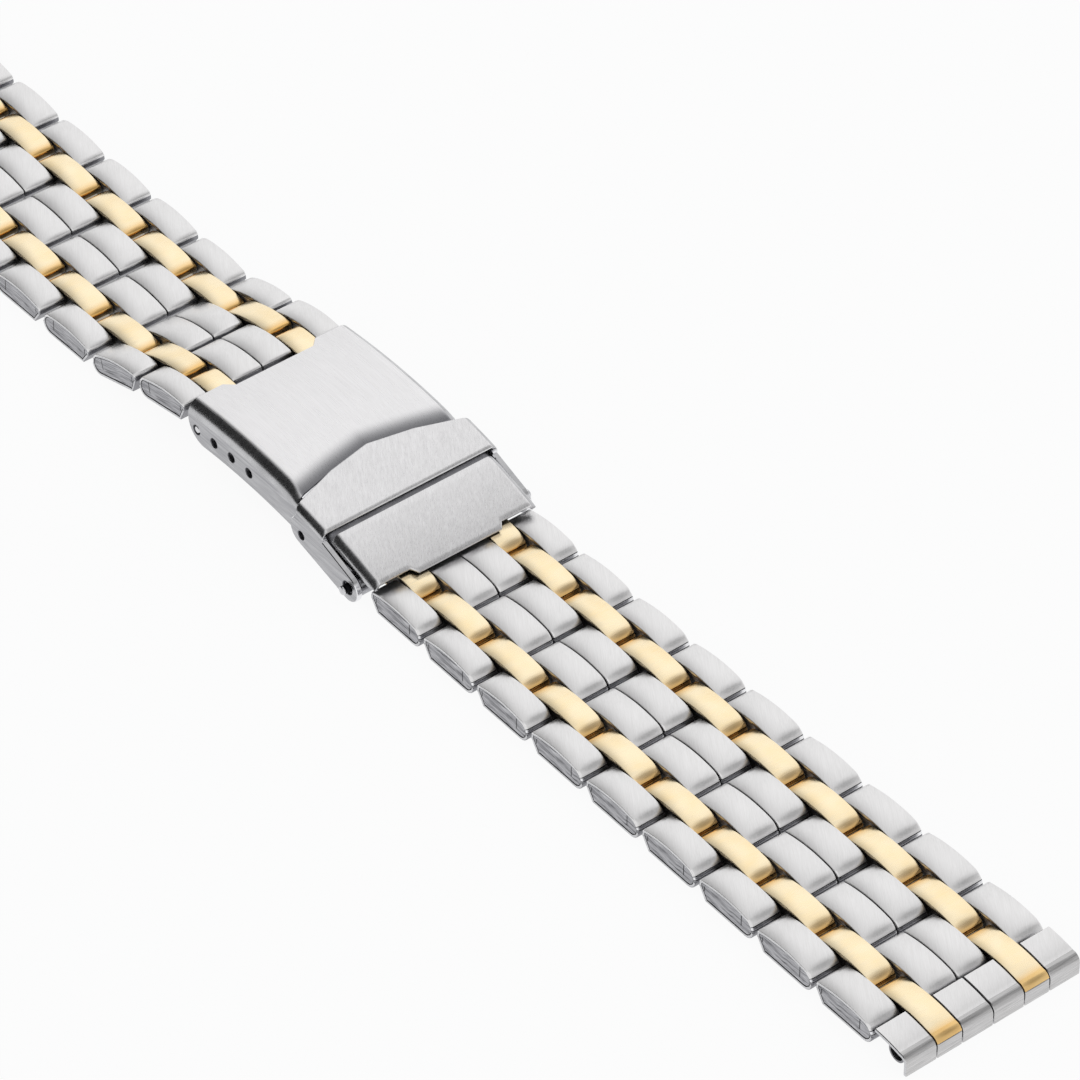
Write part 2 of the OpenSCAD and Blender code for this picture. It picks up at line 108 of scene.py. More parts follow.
def unit(ways: Array) -> Array:
    """Divides each direction by its own length."""
    return ways / np.maximum(np.linalg.norm(ways, axis=-1, keepdims=True), TINY)


def mirrored(near: float, far: float) -> tuple[Pair, Pair]:
    """Gives the two sides in Y of a column and of its mirror image across the middle."""
    return (-far, -near), (near, far)


def linear(code: str) -> tuple[float, float, float, float]:
    """Turns an sRGB hex colour into linear light.

    Args:
        code: six hex digits.

    Returns:
        Red, green, blue and an alpha of one.
    """
    parts = [int(code[i:i + 2], 16) / 255.0 for i in (0, 2, 4)]
    return tuple(p / 12.92 if p <= 0.04045 else ((p + 0.055) / 1.055) ** 2.4 for p in parts) + (1.0,)


def bare_tree(owner: bpy.types.Material | bpy.types.World) -> Tree:
    """Gives a material or a world an empty node tree.

    Args:
        owner: what gets the tree.

    Returns:
        The tree.
    """
    owner.use_nodes = True
    owner.node_tree.nodes.clear()
    return owner.node_tree


def add(tree: Tree, kind: str, settings: dict | None = None, links: dict | None = None) -> Node:
    """Adds one node with its settings and links.

    Args:
        tree: node tree that gets the node.
        kind: type name of the node, less its first word ShaderNode.
        settings: values by input name or number, by property name, or colour stops under "stops".
        links: by input name or number, an output socket, or a node whose first live output is taken.

    Returns:
        The new node.
    """
    node = tree.nodes.new("ShaderNode" + kind)
    for key, value in (settings or {}).items():
        if key == "stops":
            ramp = node.color_ramp.elements
            while len(ramp) < len(value):
                ramp.new(1.0)
            for stop, (place, colour) in zip(ramp, value):
                stop.position, stop.color = place, linear(colour)
        elif isinstance(key, int) or key in node.inputs:
            node.inputs[key].default_value = value
        else:
            setattr(node, key, value)
    for key, source in (links or {}).items():
        if isinstance(source, bpy.types.Node):
            source = next(out for out in source.outputs if out.enabled)
        tree.links.new(source, node.inputs[key])
    return node


def grain(tree: Tree, place: Socket, size: tuple[float, float, float], turn: float = 0.0,
          **settings: float) -> Node:
    """Adds noise on cells of a size in millimetres, turned about the upward axis by turn in degrees."""
    cell = add(tree, "Mapping", {
        "vector_type": "TEXTURE", "Rotation": (0.0, 0.0, math.radians(turn)),
        "Scale": tuple(s * MM for s in size)}, {"Vector": place})
    return add(tree, "TexNoise", {"Scale": 1.0, **settings}, {"Vector": cell})


@dataclass(frozen=True)
class Finish:
    """A metal finish: light and dark tone, roughness, and another colour at an edge where one is given.

    The edge's colour goes by X of the piece's millimetre map: none at edge_clear, all at edge_full. On the
    cover it is painted shade towards the rolled V edge, on the gold links a painted reflection of the gold
    round them towards their ends.
    """

    name: str
    light: str
    dark: str
    roughness: float = 0.34
    edge: str = ""
    edge_clear: float = 2.3
    edge_full: float = 0.0

    def make(self) -> bpy.types.Material:
        """Builds the finish's nodes round one metal shader.

        Returns:
            The finished material.
        """
        material = bpy.data.materials.new(self.name)
        tree = bare_tree(material)
        links = self.look(tree, add(tree, "TexCoord").outputs["Object"])
        # Painted shade and painted reflection: towards an edge the colour turns to the edge colour
        if self.edge:
            along = add(tree, "SeparateXYZ", {}, {"Vector": add(tree, "UVMap", {"uv_map": MM_MAP})})
            away = add(tree, "Math", {"operation": "ABSOLUTE"}, {0: along.outputs["X"]})
            share = add(tree, "MapRange", {
                "interpolation_type": "SMOOTHSTEP", "From Min": self.edge_clear,
                "From Max": self.edge_full}, {"Value": away})
            links["Base Color"] = add(tree, "Mix", {"data_type": "RGBA", 7: linear(self.edge)},
                                      {0: share, 6: links["Base Color"]})
        shader = add(tree, "BsdfPrincipled", {"Metallic": 1.0, "Roughness": self.roughness}, links)
        add(tree, "OutputMaterial", {}, {"Surface": shader})
        return material

    def look(self, tree: Tree, place: Socket) -> dict:
        """Adds the pattern of one kind of finish, which each kind gives itself.

        Args:
            tree: node tree of the finish.
            place: Object coordinates.

        Returns:
            Links of the metal shader.
        """
        raise NotImplementedError

    def tone(self, tree: Tree, at: Node, low: float, high: float) -> Node:
        """Adds the ramp from the dark tone, where a pattern is low, to the light one, where it is high."""
        return add(tree, "ValToRGB", {"stops": ((low, self.dark), (high, self.light))}, {"Fac": at})

    def waver(self, tree: Tree, at: Node, less: float, more: float) -> Node:
        """Adds a roughness that follows a pattern from less under the finish's own to more over it."""
        return add(tree, "MapRange", {
            "From Min": 0.3, "From Max": 0.7, "To Min": self.roughness - less,
            "To Max": self.roughness + more}, {"Value": at})


@dataclass(frozen=True)
class BrushedSteel(Finish):
    """Stainless steel rubbed with an abrasive belt: a satin sheen drawn out across its fine lines.

    The belt's lines are really about 0.05 mm apart. They are drawn up to four times as coarse, because
    finer ones don't show in the picture. Near a rolled edge the steel may take a darker colour, which is
    painted shade for the dark surroundings that the turning edge mirrors.
    """

    turn: float = 0.0
    spacing: float = 0.1
    length: float = 3.0
    relief: float = 0.015

    def look(self, tree: Tree, place: Socket) -> dict:
        """Lines are noise on Object coordinates, turned to the belt's way and stretched along it.

        Args:
            tree: node tree of the finish.
            place: Object coordinates.

        Returns:
            Links of the metal shader.
        """
        lines = grain(tree, place, (self.length, self.spacing, self.spacing), self.turn,
                      Detail=4.0, Roughness=0.65)
        # Rare deeper scratches lie among the lines, a few to each millimetre
        marks = grain(tree, place, (2.2, 0.3, 0.3), self.turn + 3.0, Detail=1.0)
        # Slow clouds some millimetres wide, where the belt pressed harder
        clouds = add(tree, "TexNoise", {"Scale": 260.0, "Detail": 2.0}, {"Vector": place})
        both = add(tree, "Math", {"operation": "MULTIPLY_ADD", 1: 0.28}, {0: marks, 2: lines})
        mixed = add(tree, "Math", {"operation": "MULTIPLY_ADD", 1: 0.12}, {0: clouds, 2: both})
        bump = add(tree, "Bump", {"Strength": self.relief, "Distance": 0.02 * MM}, {"Height": lines})
        return {"Base Color": self.tone(tree, mixed, 0.5, 0.9),
                "Roughness": self.waver(tree, lines, 0.05, 0.06), "Normal": bump}


@dataclass(frozen=True)
class PolishedMetal(Finish):
    """Buffed metal, plain steel or gold plate on steel: a clear gloss with faint wheel marks.

    Gold plate may deepen towards a link's ends, a painted reflection of the gold that the ends mirror.
    """

    mark_length: float = 1.6
    mark_spacing: float = 0.25

    def look(self, tree: Tree, place: Socket) -> dict:
        """Wheel marks are noise on Object coordinates that lets the gloss and tone waver a little.

        Args:
            tree: node tree of the finish.
            place: Object coordinates.

        Returns:
            Links of the metal shader.
        """
        marks = grain(tree, place, (self.mark_spacing, self.mark_length, self.mark_spacing), Detail=3.0)
        clouds = add(tree, "TexNoise", {"Scale": 420.0, "Detail": 1.0}, {"Vector": place})
        mixed = add(tree, "Math", {"operation": "MULTIPLY_ADD", 1: 0.5}, {0: marks, 2: clouds})
        return {"Base Color": self.tone(tree, mixed, 0.4, 0.9),
                "Roughness": self.waver(tree, marks, 0.03, 0.04)}


@dataclass(frozen=True)
class PressedCore(Finish):
    """End of the folded steel core inside a link: sawn and tumbled, so it shows long rough scratches.

    Two short slits, where the core's folds meet, stand near its ends. Each is given by X and Z of its
    middle and its half height.
    """

    roughness: float = 0.42
    deepest: str = "4C4C50"
    slit: str = "18181B"
    slits: tuple[tuple[float, float, float], ...] = ((2.05, 0.15, 0.62), (-3.02, 0.12, 0.3))
    slit_half: float = 0.055
    bow: float = 0.55

    def look(self, tree: Tree, place: Socket) -> dict:
        """Scratches are noise on the face's own millimetre map, long in X; slits are two thin boxes.

        Args:
            tree: node tree of the finish.
            place: Object coordinates.

        Returns:
            Links of the metal shader.
        """
        flat = add(tree, "UVMap", {"uv_map": MM_MAP})
        # The map alone would give each link the same scratches, so the place in the bracelet is added
        shift = add(tree, "VectorMath", {"operation": "MULTIPLY", 1: (90.0, 400.0, 0.0)}, {0: place})
        moved = add(tree, "VectorMath", {"operation": "ADD"}, {0: flat, 1: shift})
        bent = add(tree, "TexNoise", {"Scale": 0.5, "Detail": 1.0}, {"Vector": moved})
        bow = add(tree, "VectorMath", {"operation": "SCALE", "Scale": self.bow}, {0: bent.outputs["Color"]})
        bowed = add(tree, "VectorMath", {"operation": "ADD"}, {0: moved, 1: bow})
        drawn = add(tree, "Mapping", {"Scale": (0.5, 9.0, 1.0)}, {"Vector": bowed})
        scratches = add(tree, "TexNoise", {"Scale": 1.0, "Detail": 3.0, "Roughness": 0.55},
                        {"Vector": drawn})
        tone = add(tree, "ValToRGB", {"stops": ((0.32, self.deepest), (0.44, self.dark), (0.64, self.light))},
                   {"Fac": scratches})
        parts = add(tree, "SeparateXYZ", {}, {"Vector": flat})
        holes = None
        for x, z, half in self.slits:
            in_x = add(tree, "Math", {"operation": "COMPARE", 1: x, 2: self.slit_half},
                       {0: parts.outputs["X"]})
            in_z = add(tree, "Math", {"operation": "COMPARE", 1: z, 2: half}, {0: parts.outputs["Y"]})
            box = add(tree, "Math", {"operation": "MULTIPLY"}, {0: in_x, 1: in_z})
            holes = box if holes is None else add(tree, "Math", {"operation": "MAXIMUM"}, {0: holes, 1: box})
        height = add(tree, "Math", {"operation": "SUBTRACT"}, {0: scratches, 1: holes})
        return {
            "Base Color": add(tree, "Mix", {"data_type": "RGBA", 7: linear(self.slit)}, {0: holes, 6: tone}),
            "Normal": add(tree, "Bump", {"Strength": 0.3, "Distance": 0.03 * MM}, {"Height": height})}


@dataclass(frozen=True)
class Finishes:
    """Every finish of the bracelet, made once and shared by its pieces."""

    # Belt lines on the links cross the bracelet at a slant, on the cover they run along it
    link_steel: BrushedSteel = BrushedSteel("belt_brushed_link_steel", "EDECEC", "DFDEDE", turn=-33.0)
    # The cover's colour darkens towards its rolled V edge: painted shade
    cover_steel: BrushedSteel = BrushedSteel(
        "fine_brushed_cover_steel", "EDECED", "E0DFE0", 0.3, edge="98989C", turn=-2.0, length=9.0)
    plate_steel: BrushedSteel = BrushedSteel("fine_brushed_plate_steel", "EBEAEB", "D2D1D2", 0.3, turn=-33.0)
    # The side walls are the same steel toned darker than the tops: painted shade for what they face
    side_steel: BrushedSteel = BrushedSteel(
        "belt_brushed_steel_side_walls", "C6C6C8", "98989C", 0.36, spacing=0.2, length=7.0)
    # Undersides and the nose's lower turn: duller than the brushed top, and painted a darker grey as shade
    link_under: BrushedSteel = BrushedSteel("tumbled_steel_underside", "A2A2A6", "77777B", 0.4, turn=-33.0)
    # The cut edge of the folded sheet is sheared bright, so it draws a pale line round each link
    sheared_edge: BrushedSteel = BrushedSteel("sheared_steel_sheet_edge", "DADADC", "B4B4B7", 0.3, length=2.0)
    # Brushing rolled over the end piece's front: lines across the bracelet, and a darker tone, painted shade
    rolled: BrushedSteel = BrushedSteel("brushed_rolled_front_steel", "D6D5D5", "B4B3B3", 0.3, turn=90.0)
    # The sheets' insides keep the mill's dull grey, painted darker as shade; the blades its smoother, paler
    # one
    inner: BrushedSteel = BrushedSteel("mill_finish_sheet_inside", "77777B", "4E4E52", 0.45)
    blade: BrushedSteel = BrushedSteel("rolled_steel_blade", "BABABE", "8E8E92", 0.3)
    # Plate over buffed steel: soft even gloss, pale on the dome and deeper over a link's last 1.4 mm
    # The deeper gold over a link's last 1.4 mm is a painted reflection of the neighbouring gold
    gold: PolishedMetal = PolishedMetal(
        "buffed_gold_plate", "FFEECB", "FCE5B8", 0.25, edge="ECBA69", edge_clear=2.5, edge_full=3.9)
    # The folded end and the caps' front are painted a deeper gold too, the same painted reflection
    gold_strip: PolishedMetal = PolishedMetal("gold_plate_folded_end", "F3C884", "E0A860", 0.3)
    gold_front: PolishedMetal = PolishedMetal("buffed_gold_cap_front", "F6D394", "ECBE78", 0.3)
    # On cut edges the plate is thin and dull, so the steel's grey shows through; on undersides it is painted
    # shade
    gold_edge: PolishedMetal = PolishedMetal("gold_plate_sheet_edge", "A8987C", "75684F", 0.35)
    # Buffed rims and the folded end of the sheet catch the light as thin bright lines
    polished: PolishedMetal = PolishedMetal("buffed_stainless_steel", "EDEDEF", "DADADD", 0.12)
    strip: PolishedMetal = PolishedMetal("steel_sheet_folded_end", "F4F4F6", "D2D2D5", 0.3)
    # Oil and oxide in a joint a few hundredths wide read as a near-black line, also painted shade in gaps
    seam: PolishedMetal = PolishedMetal("oxide_dark_joint", "2A2A2D", "141416", 0.55)
    # The lathe leaves fine rings, so a pin has a bright streak along it
    turned: PolishedMetal = PolishedMetal(
        "lathe_turned_steel_pin", "DCDCDE", "B4B4B7", 0.22, mark_length=0.6, mark_spacing=0.3)
    # Inside a narrow groove the steel is unpolished, and painted a darker grey as shade
    recess: PolishedMetal = PolishedMetal("unpolished_steel_recess", "A4A4A8", "7C7C80", 0.5)
    # Folds drawn smooth by the press mirror the room more sharply than the brushed flats; their darker tone
    # is painted shade
    fold: PolishedMetal = PolishedMetal("drawn_steel_fold", "C6C6C8", "A8A8AA", 0.27)
    # Sawn ends: rough grey scratches on steel; between gold links a near-black brown, painted shade and
    # reflection
    core: PressedCore = PressedCore("sawn_folded_steel_core", "C2C2C5", "97979B")
    gold_core: PressedCore = PressedCore("sawn_gold_plated_core", "332C26", "1A1714")
    made: dict = field(default_factory=dict)

    def get(self, word: str) -> bpy.types.Material:
        """Gives the material of a finish, made at its first use.

        Args:
            word: name of the finish's field.

        Returns:
            The material.
        """
        if word not in self.made:
            self.made[word] = getattr(self, word).make()
        return self.made[word]


FINISHES = Finishes()
STEEL_SKINS = ("link_steel", "seam", "strip", "link_under", "sheared_edge", "core", "rolled")
GOLD_SKINS = ("gold", "seam", "gold_strip", "gold_edge", "gold_edge", "gold_core", "gold_front")
COVER_SKINS = ("cover_steel", "polished", "inner", "side_steel", "fold", "plate_steel", "recess")
FLAP_SKINS = ("plate_steel", "polished", "inner", "side_steel", "fold")
TIP_SKINS = ("turned", "seam")


class Surface:
    """Grids and triangles in millimetres, gathered and then made into one mesh piece."""

    def __init__(self, name: str, skins: tuple[str, ...]) -> None:
        """Starts an empty surface.

        Args:
            name: name of the piece.
            skins: its finishes by slot.
        """
        self.name = name
        self.skins = skins
        self.batches: list[tuple[Array, Array, Array, Array]] = []
        self.count = 0

    def _store(self, points: Array, maps: Array | None, faces: Array, slots: Array) -> None:
        """Keeps one batch, with X and Z as its map where it has none.

        Args:
            points: places in millimetres.
            maps: map values of the points.
            faces: four point numbers for each face.
            slots: slot of each face.
        """
        maps = points[:, [0, 2]] if maps is None else maps
        self.batches.append((points, maps, faces + self.count, slots))
        self.count += len(points)

    def grid(self, points: Array, slot: int | Array, maps: Array | None = None) -> None:
        """Adds a grid of points as quads between neighbouring rows and columns.

        Args:
            points: rows by columns by three, in millimetres.
            slot: one slot number, or one for each quad.
            maps: rows by columns by two map values, in millimetres.
        """
        rows, columns = points.shape[:2]
        index = np.arange(rows * columns).reshape(rows, columns)
        quads = np.stack([index[:-1, :-1], index[:-1, 1:], index[1:, 1:], index[1:, :-1]], -1)
        self._store(points.reshape(-1, 3), None if maps is None else maps.reshape(-1, 2),
                    quads.reshape(-1, 4), np.broadcast_to(slot, (rows - 1, columns - 1)).reshape(-1))

    def triangles(self, points: Array, faces: Array, slot: int) -> None:
        """Adds loose triangles, each kept as a quad whose last two corners are one."""
        self._store(points, None, np.concatenate([faces, faces[:, 2:]], 1), np.full(len(faces), slot))

    def build(self, body: str, slot_name: str, node: str, move: Array | float = 0.0) -> None:
        """Makes the mesh, merges its doubles, turns its faces outwards and hands it to its body.

        Args:
            body: CAD body that carries the piece.
            slot_name: material slot of the record, which is not used.
            node: CAD node that the piece stands for.
            move: shift in millimetres from the surface's own frame to the shared frame.
        """
        points, maps, faces, slots = (np.concatenate(parts) for parts in zip(*self.batches))
        lists = [f[:3] if f[2] == f[3] else f for f in faces.tolist()]
        mesh = bpy.data.meshes.new(self.name)
        mesh.from_pydata(((points + move) * MM).tolist(), [], lists)
        corners = np.empty(len(mesh.loops), np.int32)
        mesh.loops.foreach_get("vertex_index", corners)
        mesh.uv_layers.new(name=MM_MAP).data.foreach_set("uv", maps[corners].astype(np.float32).ravel())
        mesh.polygons.foreach_set("material_index", slots.astype(np.int32))
        for word in self.skins:
            mesh.materials.append(FINISHES.get(word))
        work = bmesh.new()
        work.from_mesh(mesh)
        bmesh.ops.remove_doubles(work, verts=work.verts, dist=MERGE)
        bmesh.ops.dissolve_degenerate(work, edges=work.edges, dist=MERGE / 4)
        # A turned shape's axis, folded to nothing, can leave an edge without faces
        bmesh.ops.delete(work, geom=[e for e in work.edges if not e.link_faces], context="EDGES")
        bmesh.ops.recalc_face_normals(work, faces=work.faces)
        open_edges = sum(1 for e in work.edges if len(e.link_faces) != 2)
        work.to_mesh(mesh)
        work.free()
        mesh.shade_smooth()
        mesh.set_sharp_from_angle(angle=SHARP_ANGLE)
        mesh.update()
        piece = bpy.data.objects.new(self.name, mesh)
        bpy.context.scene.collection.objects.link(piece)
        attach(piece, body)
        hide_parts(node)
        log.info("%s: %d faces, %d open edges, on %s", self.name, len(mesh.polygons), open_edges, body)


def dress(node: str, word: str) -> None:
    """Gives a CAD node that keeps its shape a finish from this script.

    Args:
        node: name of the node.
        word: field name of the finish.
    """
    for slot in frame["nodes"][node].material_slots:
        slot.material = FINISHES.get(word)
    log.info("%s: CAD solid in %s", node, word)


def circle(x: float, z: float, radius: float, count: int = 28, start: float = 0.0,
           stop: float = 360.0) -> Array:
    """Points of an arc round x and z, from start to stop in degrees, which a whole circle leaves out."""
    turn = np.radians(np.linspace(start, stop, count, endpoint=abs(stop - start) < 360.0))
    return points_of(x + radius * np.cos(turn), z + radius * np.sin(turn))


def spread(*stops: float, step: float = 0.7) -> Array:
    """Values from the first stop to the last one that pass through every stop, about step apart."""
    parts = [np.linspace(a, b, max(2, int(abs(b - a) / step) + 1), endpoint=False)
             for a, b in zip(stops, stops[1:])]
    return np.concatenate(parts + [np.array(stops[-1:])])


def lathe(surface: Surface, x: float, z: float, profile: Array, slot: int | Array, sides: int = 40) -> None:
    """Turns a closed profile of radius and Y round the line through x and z that runs along Y.

    Args:
        surface: surface that gets the turned shape.
        x: where the line lies along the bracelet.
        z: its height.
        profile: closed loop of radius and Y, its first point not repeated.
        slot: finish slot, or one for each point of the profile and the piece after it.
        sides: number of flats round the shape.
    """
    turn = np.linspace(0.0, 2 * math.pi, sides + 1)[:, None]
    radius, y = np.vstack([profile, profile[:1]]).T[:, None, :]
    surface.grid(points_of(x + radius * np.cos(turn), y, z + radius * np.sin(turn)), slot)


def ring(inner: float, outer: float, start: float, stop: float) -> Array:
    """Profile of a tube for the lathe, between two radii and two places in Y."""
    return np.array([[inner, start], [outer, start], [outer, stop], [inner, stop]])


def thick_sheet(surface: Surface, outer: Array, thickness: float, rim: tuple[float, ...],
                slots: tuple[int | Array, int, int], maps: Array | None = None) -> None:
    """Gives a sheet its wall: its inner side is the outer one moved in along the grid's normals.

    Normals are the cross product of the grid's two central differences. A rim above nought pulls the
    border in by that much on both sides, which cuts its edges at 45 degrees.

    Args:
        surface: surface that gets the sheet.
        outer: grid of the outer side.
        thickness: wall of the sheet.
        rim: chamfer at the first row, last row, first column and last column.
        slots: slots of the outer side, one or one for each quad, of its edges and of the inner side.
        maps: map values of the outer side, in millimetres.
    """
    normal = unit(np.cross(np.gradient(outer, axis=0), np.gradient(outer, axis=1)))
    middle = normal[outer.shape[0] // 2, outer.shape[1] // 2, 2]
    normal *= 1.0 if middle > 0 else -1.0
    pull = np.zeros(outer.shape[:2])
    pull[0], pull[-1] = rim[0], rim[1]
    pull[:, 0] = np.maximum(pull[:, 0], rim[2])
    pull[:, -1] = np.maximum(pull[:, -1], rim[3])
    top = outer - pull[..., None] * normal
    low = outer - (thickness - pull)[..., None] * normal
    surface.grid(top, slots[0], maps)
    surface.grid(low, slots[2])
    for border in (np.s_[0], np.s_[-1], np.s_[:, 0], np.s_[:, -1]):
        surface.grid(np.stack([top[border], low[border]]), slots[1])


def upright_plate(surface: Surface, loops: list[tuple[Array, bool | Array]], faces: Pair, rim: float) -> None:
    """Cuts a flat plate that stands along the bracelet from its outline and its holes.

    Each loop has the metal on its left. On both faces the loops are moved into the metal by rim, which
    leaves a 45 degree edge, but not where a point keeps its sharp edge. The outline's edge is buffed,
    and the holes' walls are left as cut, in the insides' dark grey, which is painted shade in the holes.
    The faces take the side walls' darker tone, painted shade.

    Args:
        surface: surface that gets the plate.
        loops: outline and holes in X and Z, each with the points that keep a sharp edge.
        faces: Y of the visible face and of the one behind it.
        rim: size of the edge.
    """
    into = np.sign(faces[1] - faces[0])
    inner_loops = []
    for number, (loop, sharp) in enumerate(loops):
        step = np.roll(loop, -1, 0) - loop
        side = unit(points_of(-step[:, 1], step[:, 0]))
        mitre = unit(side + np.roll(side, 1, 0))
        stretch = 1.0 / np.clip((mitre * side).sum(1), 0.6, 1.0)
        cut = np.where(sharp, 0.0, rim) * np.ones(len(loop))
        inside = loop + mitre * (cut * stretch)[:, None]
        inner_loops.append(inside)
        rows = [(inside, faces[0]), (loop, faces[0] + into * cut), (loop, faces[1] - into * cut),
                (inside, faces[1])]
        wall = np.stack([points_of(p[:, 0], y, p[:, 1]) for p, y in rows])
        surface.grid(np.concatenate([wall, wall[:, :1]], 1), Sheet.INSIDE if number else Sheet.CUT)
    flat = [[Vector((x, z, 0.0)) for x, z in loop] for loop in inner_loops]
    found = np.array(tessellate_polygon(flat), np.int64)
    every = np.concatenate(inner_loops)
    for y in faces:
        surface.triangles(points_of(every[:, 0], y, every[:, 1]), found, Sheet.WALL)


@dataclass(frozen=True)
class RowPlace:
    """Place of a row: the middle between its two pins, the way out and the way up, in X and Z."""

    middle: Array
    out: Array
    up: Array

    def at(self, x: Array, y: Array, z: Array) -> Array:
        """Turns a row's own outward, sideways and upward lengths into places in the shared frame."""
        return points_of(self.middle[0] + x * self.out[0] + z * self.up[0], y,
                         self.middle[1] + x * self.out[1] + z * self.up[1])


@dataclass(frozen=True)
class Chain:
    """The pins of one half of the bracelet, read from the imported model's hinges."""

    side: Side
    row_pitch: float = 4.0

    def pins(self) -> Array:
        """Reads the hinge pins, and adds one for the end piece's outer end a row further.

        Returns:
            Their X and Z from the clasp outwards, in millimetres.
        """
        start = f"{self.side.word}_hinge_"
        found = {j["name"]: j["pos_m"] for j in frame["joints"] if j["name"].startswith(start)}
        rows = [found[f"{start}{i + 1}"] for i in range(len(found))]
        pins = np.array(rows)[:, [0, 2]] / MM
        return np.vstack([pins, pins[-1] + [self.side.value * self.row_pitch, 0.0]])

    def place(self, k: int) -> RowPlace:
        """Finds a row's place: its way out runs from its own pin to the next one.

        Args:
            k: number of the row from the clasp.

        Returns:
            The place.
        """
        a, b = self.pins()[k:k + 2]
        out = unit(b - a)
        return RowPlace((a + b) / 2, out, self.side.value * np.array([-out[1], out[0]]))


@dataclass(frozen=True)
class Columns:
    """Widths of the six columns of links, and the bracelet's taper towards the clasp."""

    gap: float = 0.12
    centre: float = 3.45
    gold: float = 2.8
    clasp_half: float = 9.3
    end_half: float = 10.0
    taper_length: float = 72.0
    row_pitch: float = 4.0

    @property
    def centre_sides(self) -> tuple[Pair, Pair]:
        """Sides of the two centre links."""
        return mirrored(self.gap / 2, self.gap / 2 + self.centre)

    @property
    def gold_sides(self) -> tuple[Pair, Pair]:
        """Sides of the two gold links."""
        start = 1.5 * self.gap + self.centre
        return mirrored(start, start + self.gold)

    @property
    def outer_start(self) -> float:
        """Distance from the middle to the near side of an outer steel link."""
        return self.gold_sides[1][1] + self.gap

    def outer_line(self, k: int) -> Pair:
        """Works out the taper at a row, as a straight line through the half widths a link before and after.

        Args:
            k: number of the row from the clasp.

        Returns:
            Half width at the row's middle, and how much it grows with each millimetre outwards.
        """
        reach = self.row_pitch * 2
        s = (k + 0.5) * self.row_pitch
        a, b = (self.clasp_half + (self.end_half - self.clasp_half) * min(v / self.taper_length, 1.0)
                for v in (s - reach, s + reach))
        return (a + b) / 2, (b - a) / (2 * reach)

    def at_row(self, k: int) -> list[tuple[Pair, Pair]]:
        """Lists a row's links: two gold ones, or two centre and two outer steel ones along the taper.

        Args:
            k: number of the row from the clasp.

        Returns:
            Each link's sides in Y, and how much they move with each millimetre outwards.
        """
        if k % 2 == 0:
            return [(sides, (0.0, 0.0)) for sides in self.gold_sides]
        wide, grow = self.outer_line(k)
        left, right = mirrored(self.outer_start, wide)
        centre = [(sides, (0.0, 0.0)) for sides in reversed(self.centre_sides)]
        return centre + [(right, (0.0, grow)), (left, (-grow, 0.0))]


@dataclass(frozen=True)
class Outline:
    """Side view of a folded piece as two chains of points that meet at its two ends.

    Each upper point stands over the lower point of the same number. Groove holds how deep a joint is cut
    at each point, bevel how far the edge is rounded there, and finish which skin follows the point.
    """

    upper: Array
    lower: Array
    groove: Array
    bevel: Array
    finish: Array

    @property
    def loop(self) -> Array:
        """The closed loop: out along the upper chain and back along the lower one."""
        return np.vstack([self.upper, self.lower[-2:0:-1]])

    def normals(self) -> Array:
        """Unit normals of the loop: the chord between a point's neighbours, turned outwards."""
        chord = np.roll(self.loop, -1, 0) - np.roll(self.loop, 1, 0)
        return unit(points_of(-chord[:, 1], chord[:, 0]))


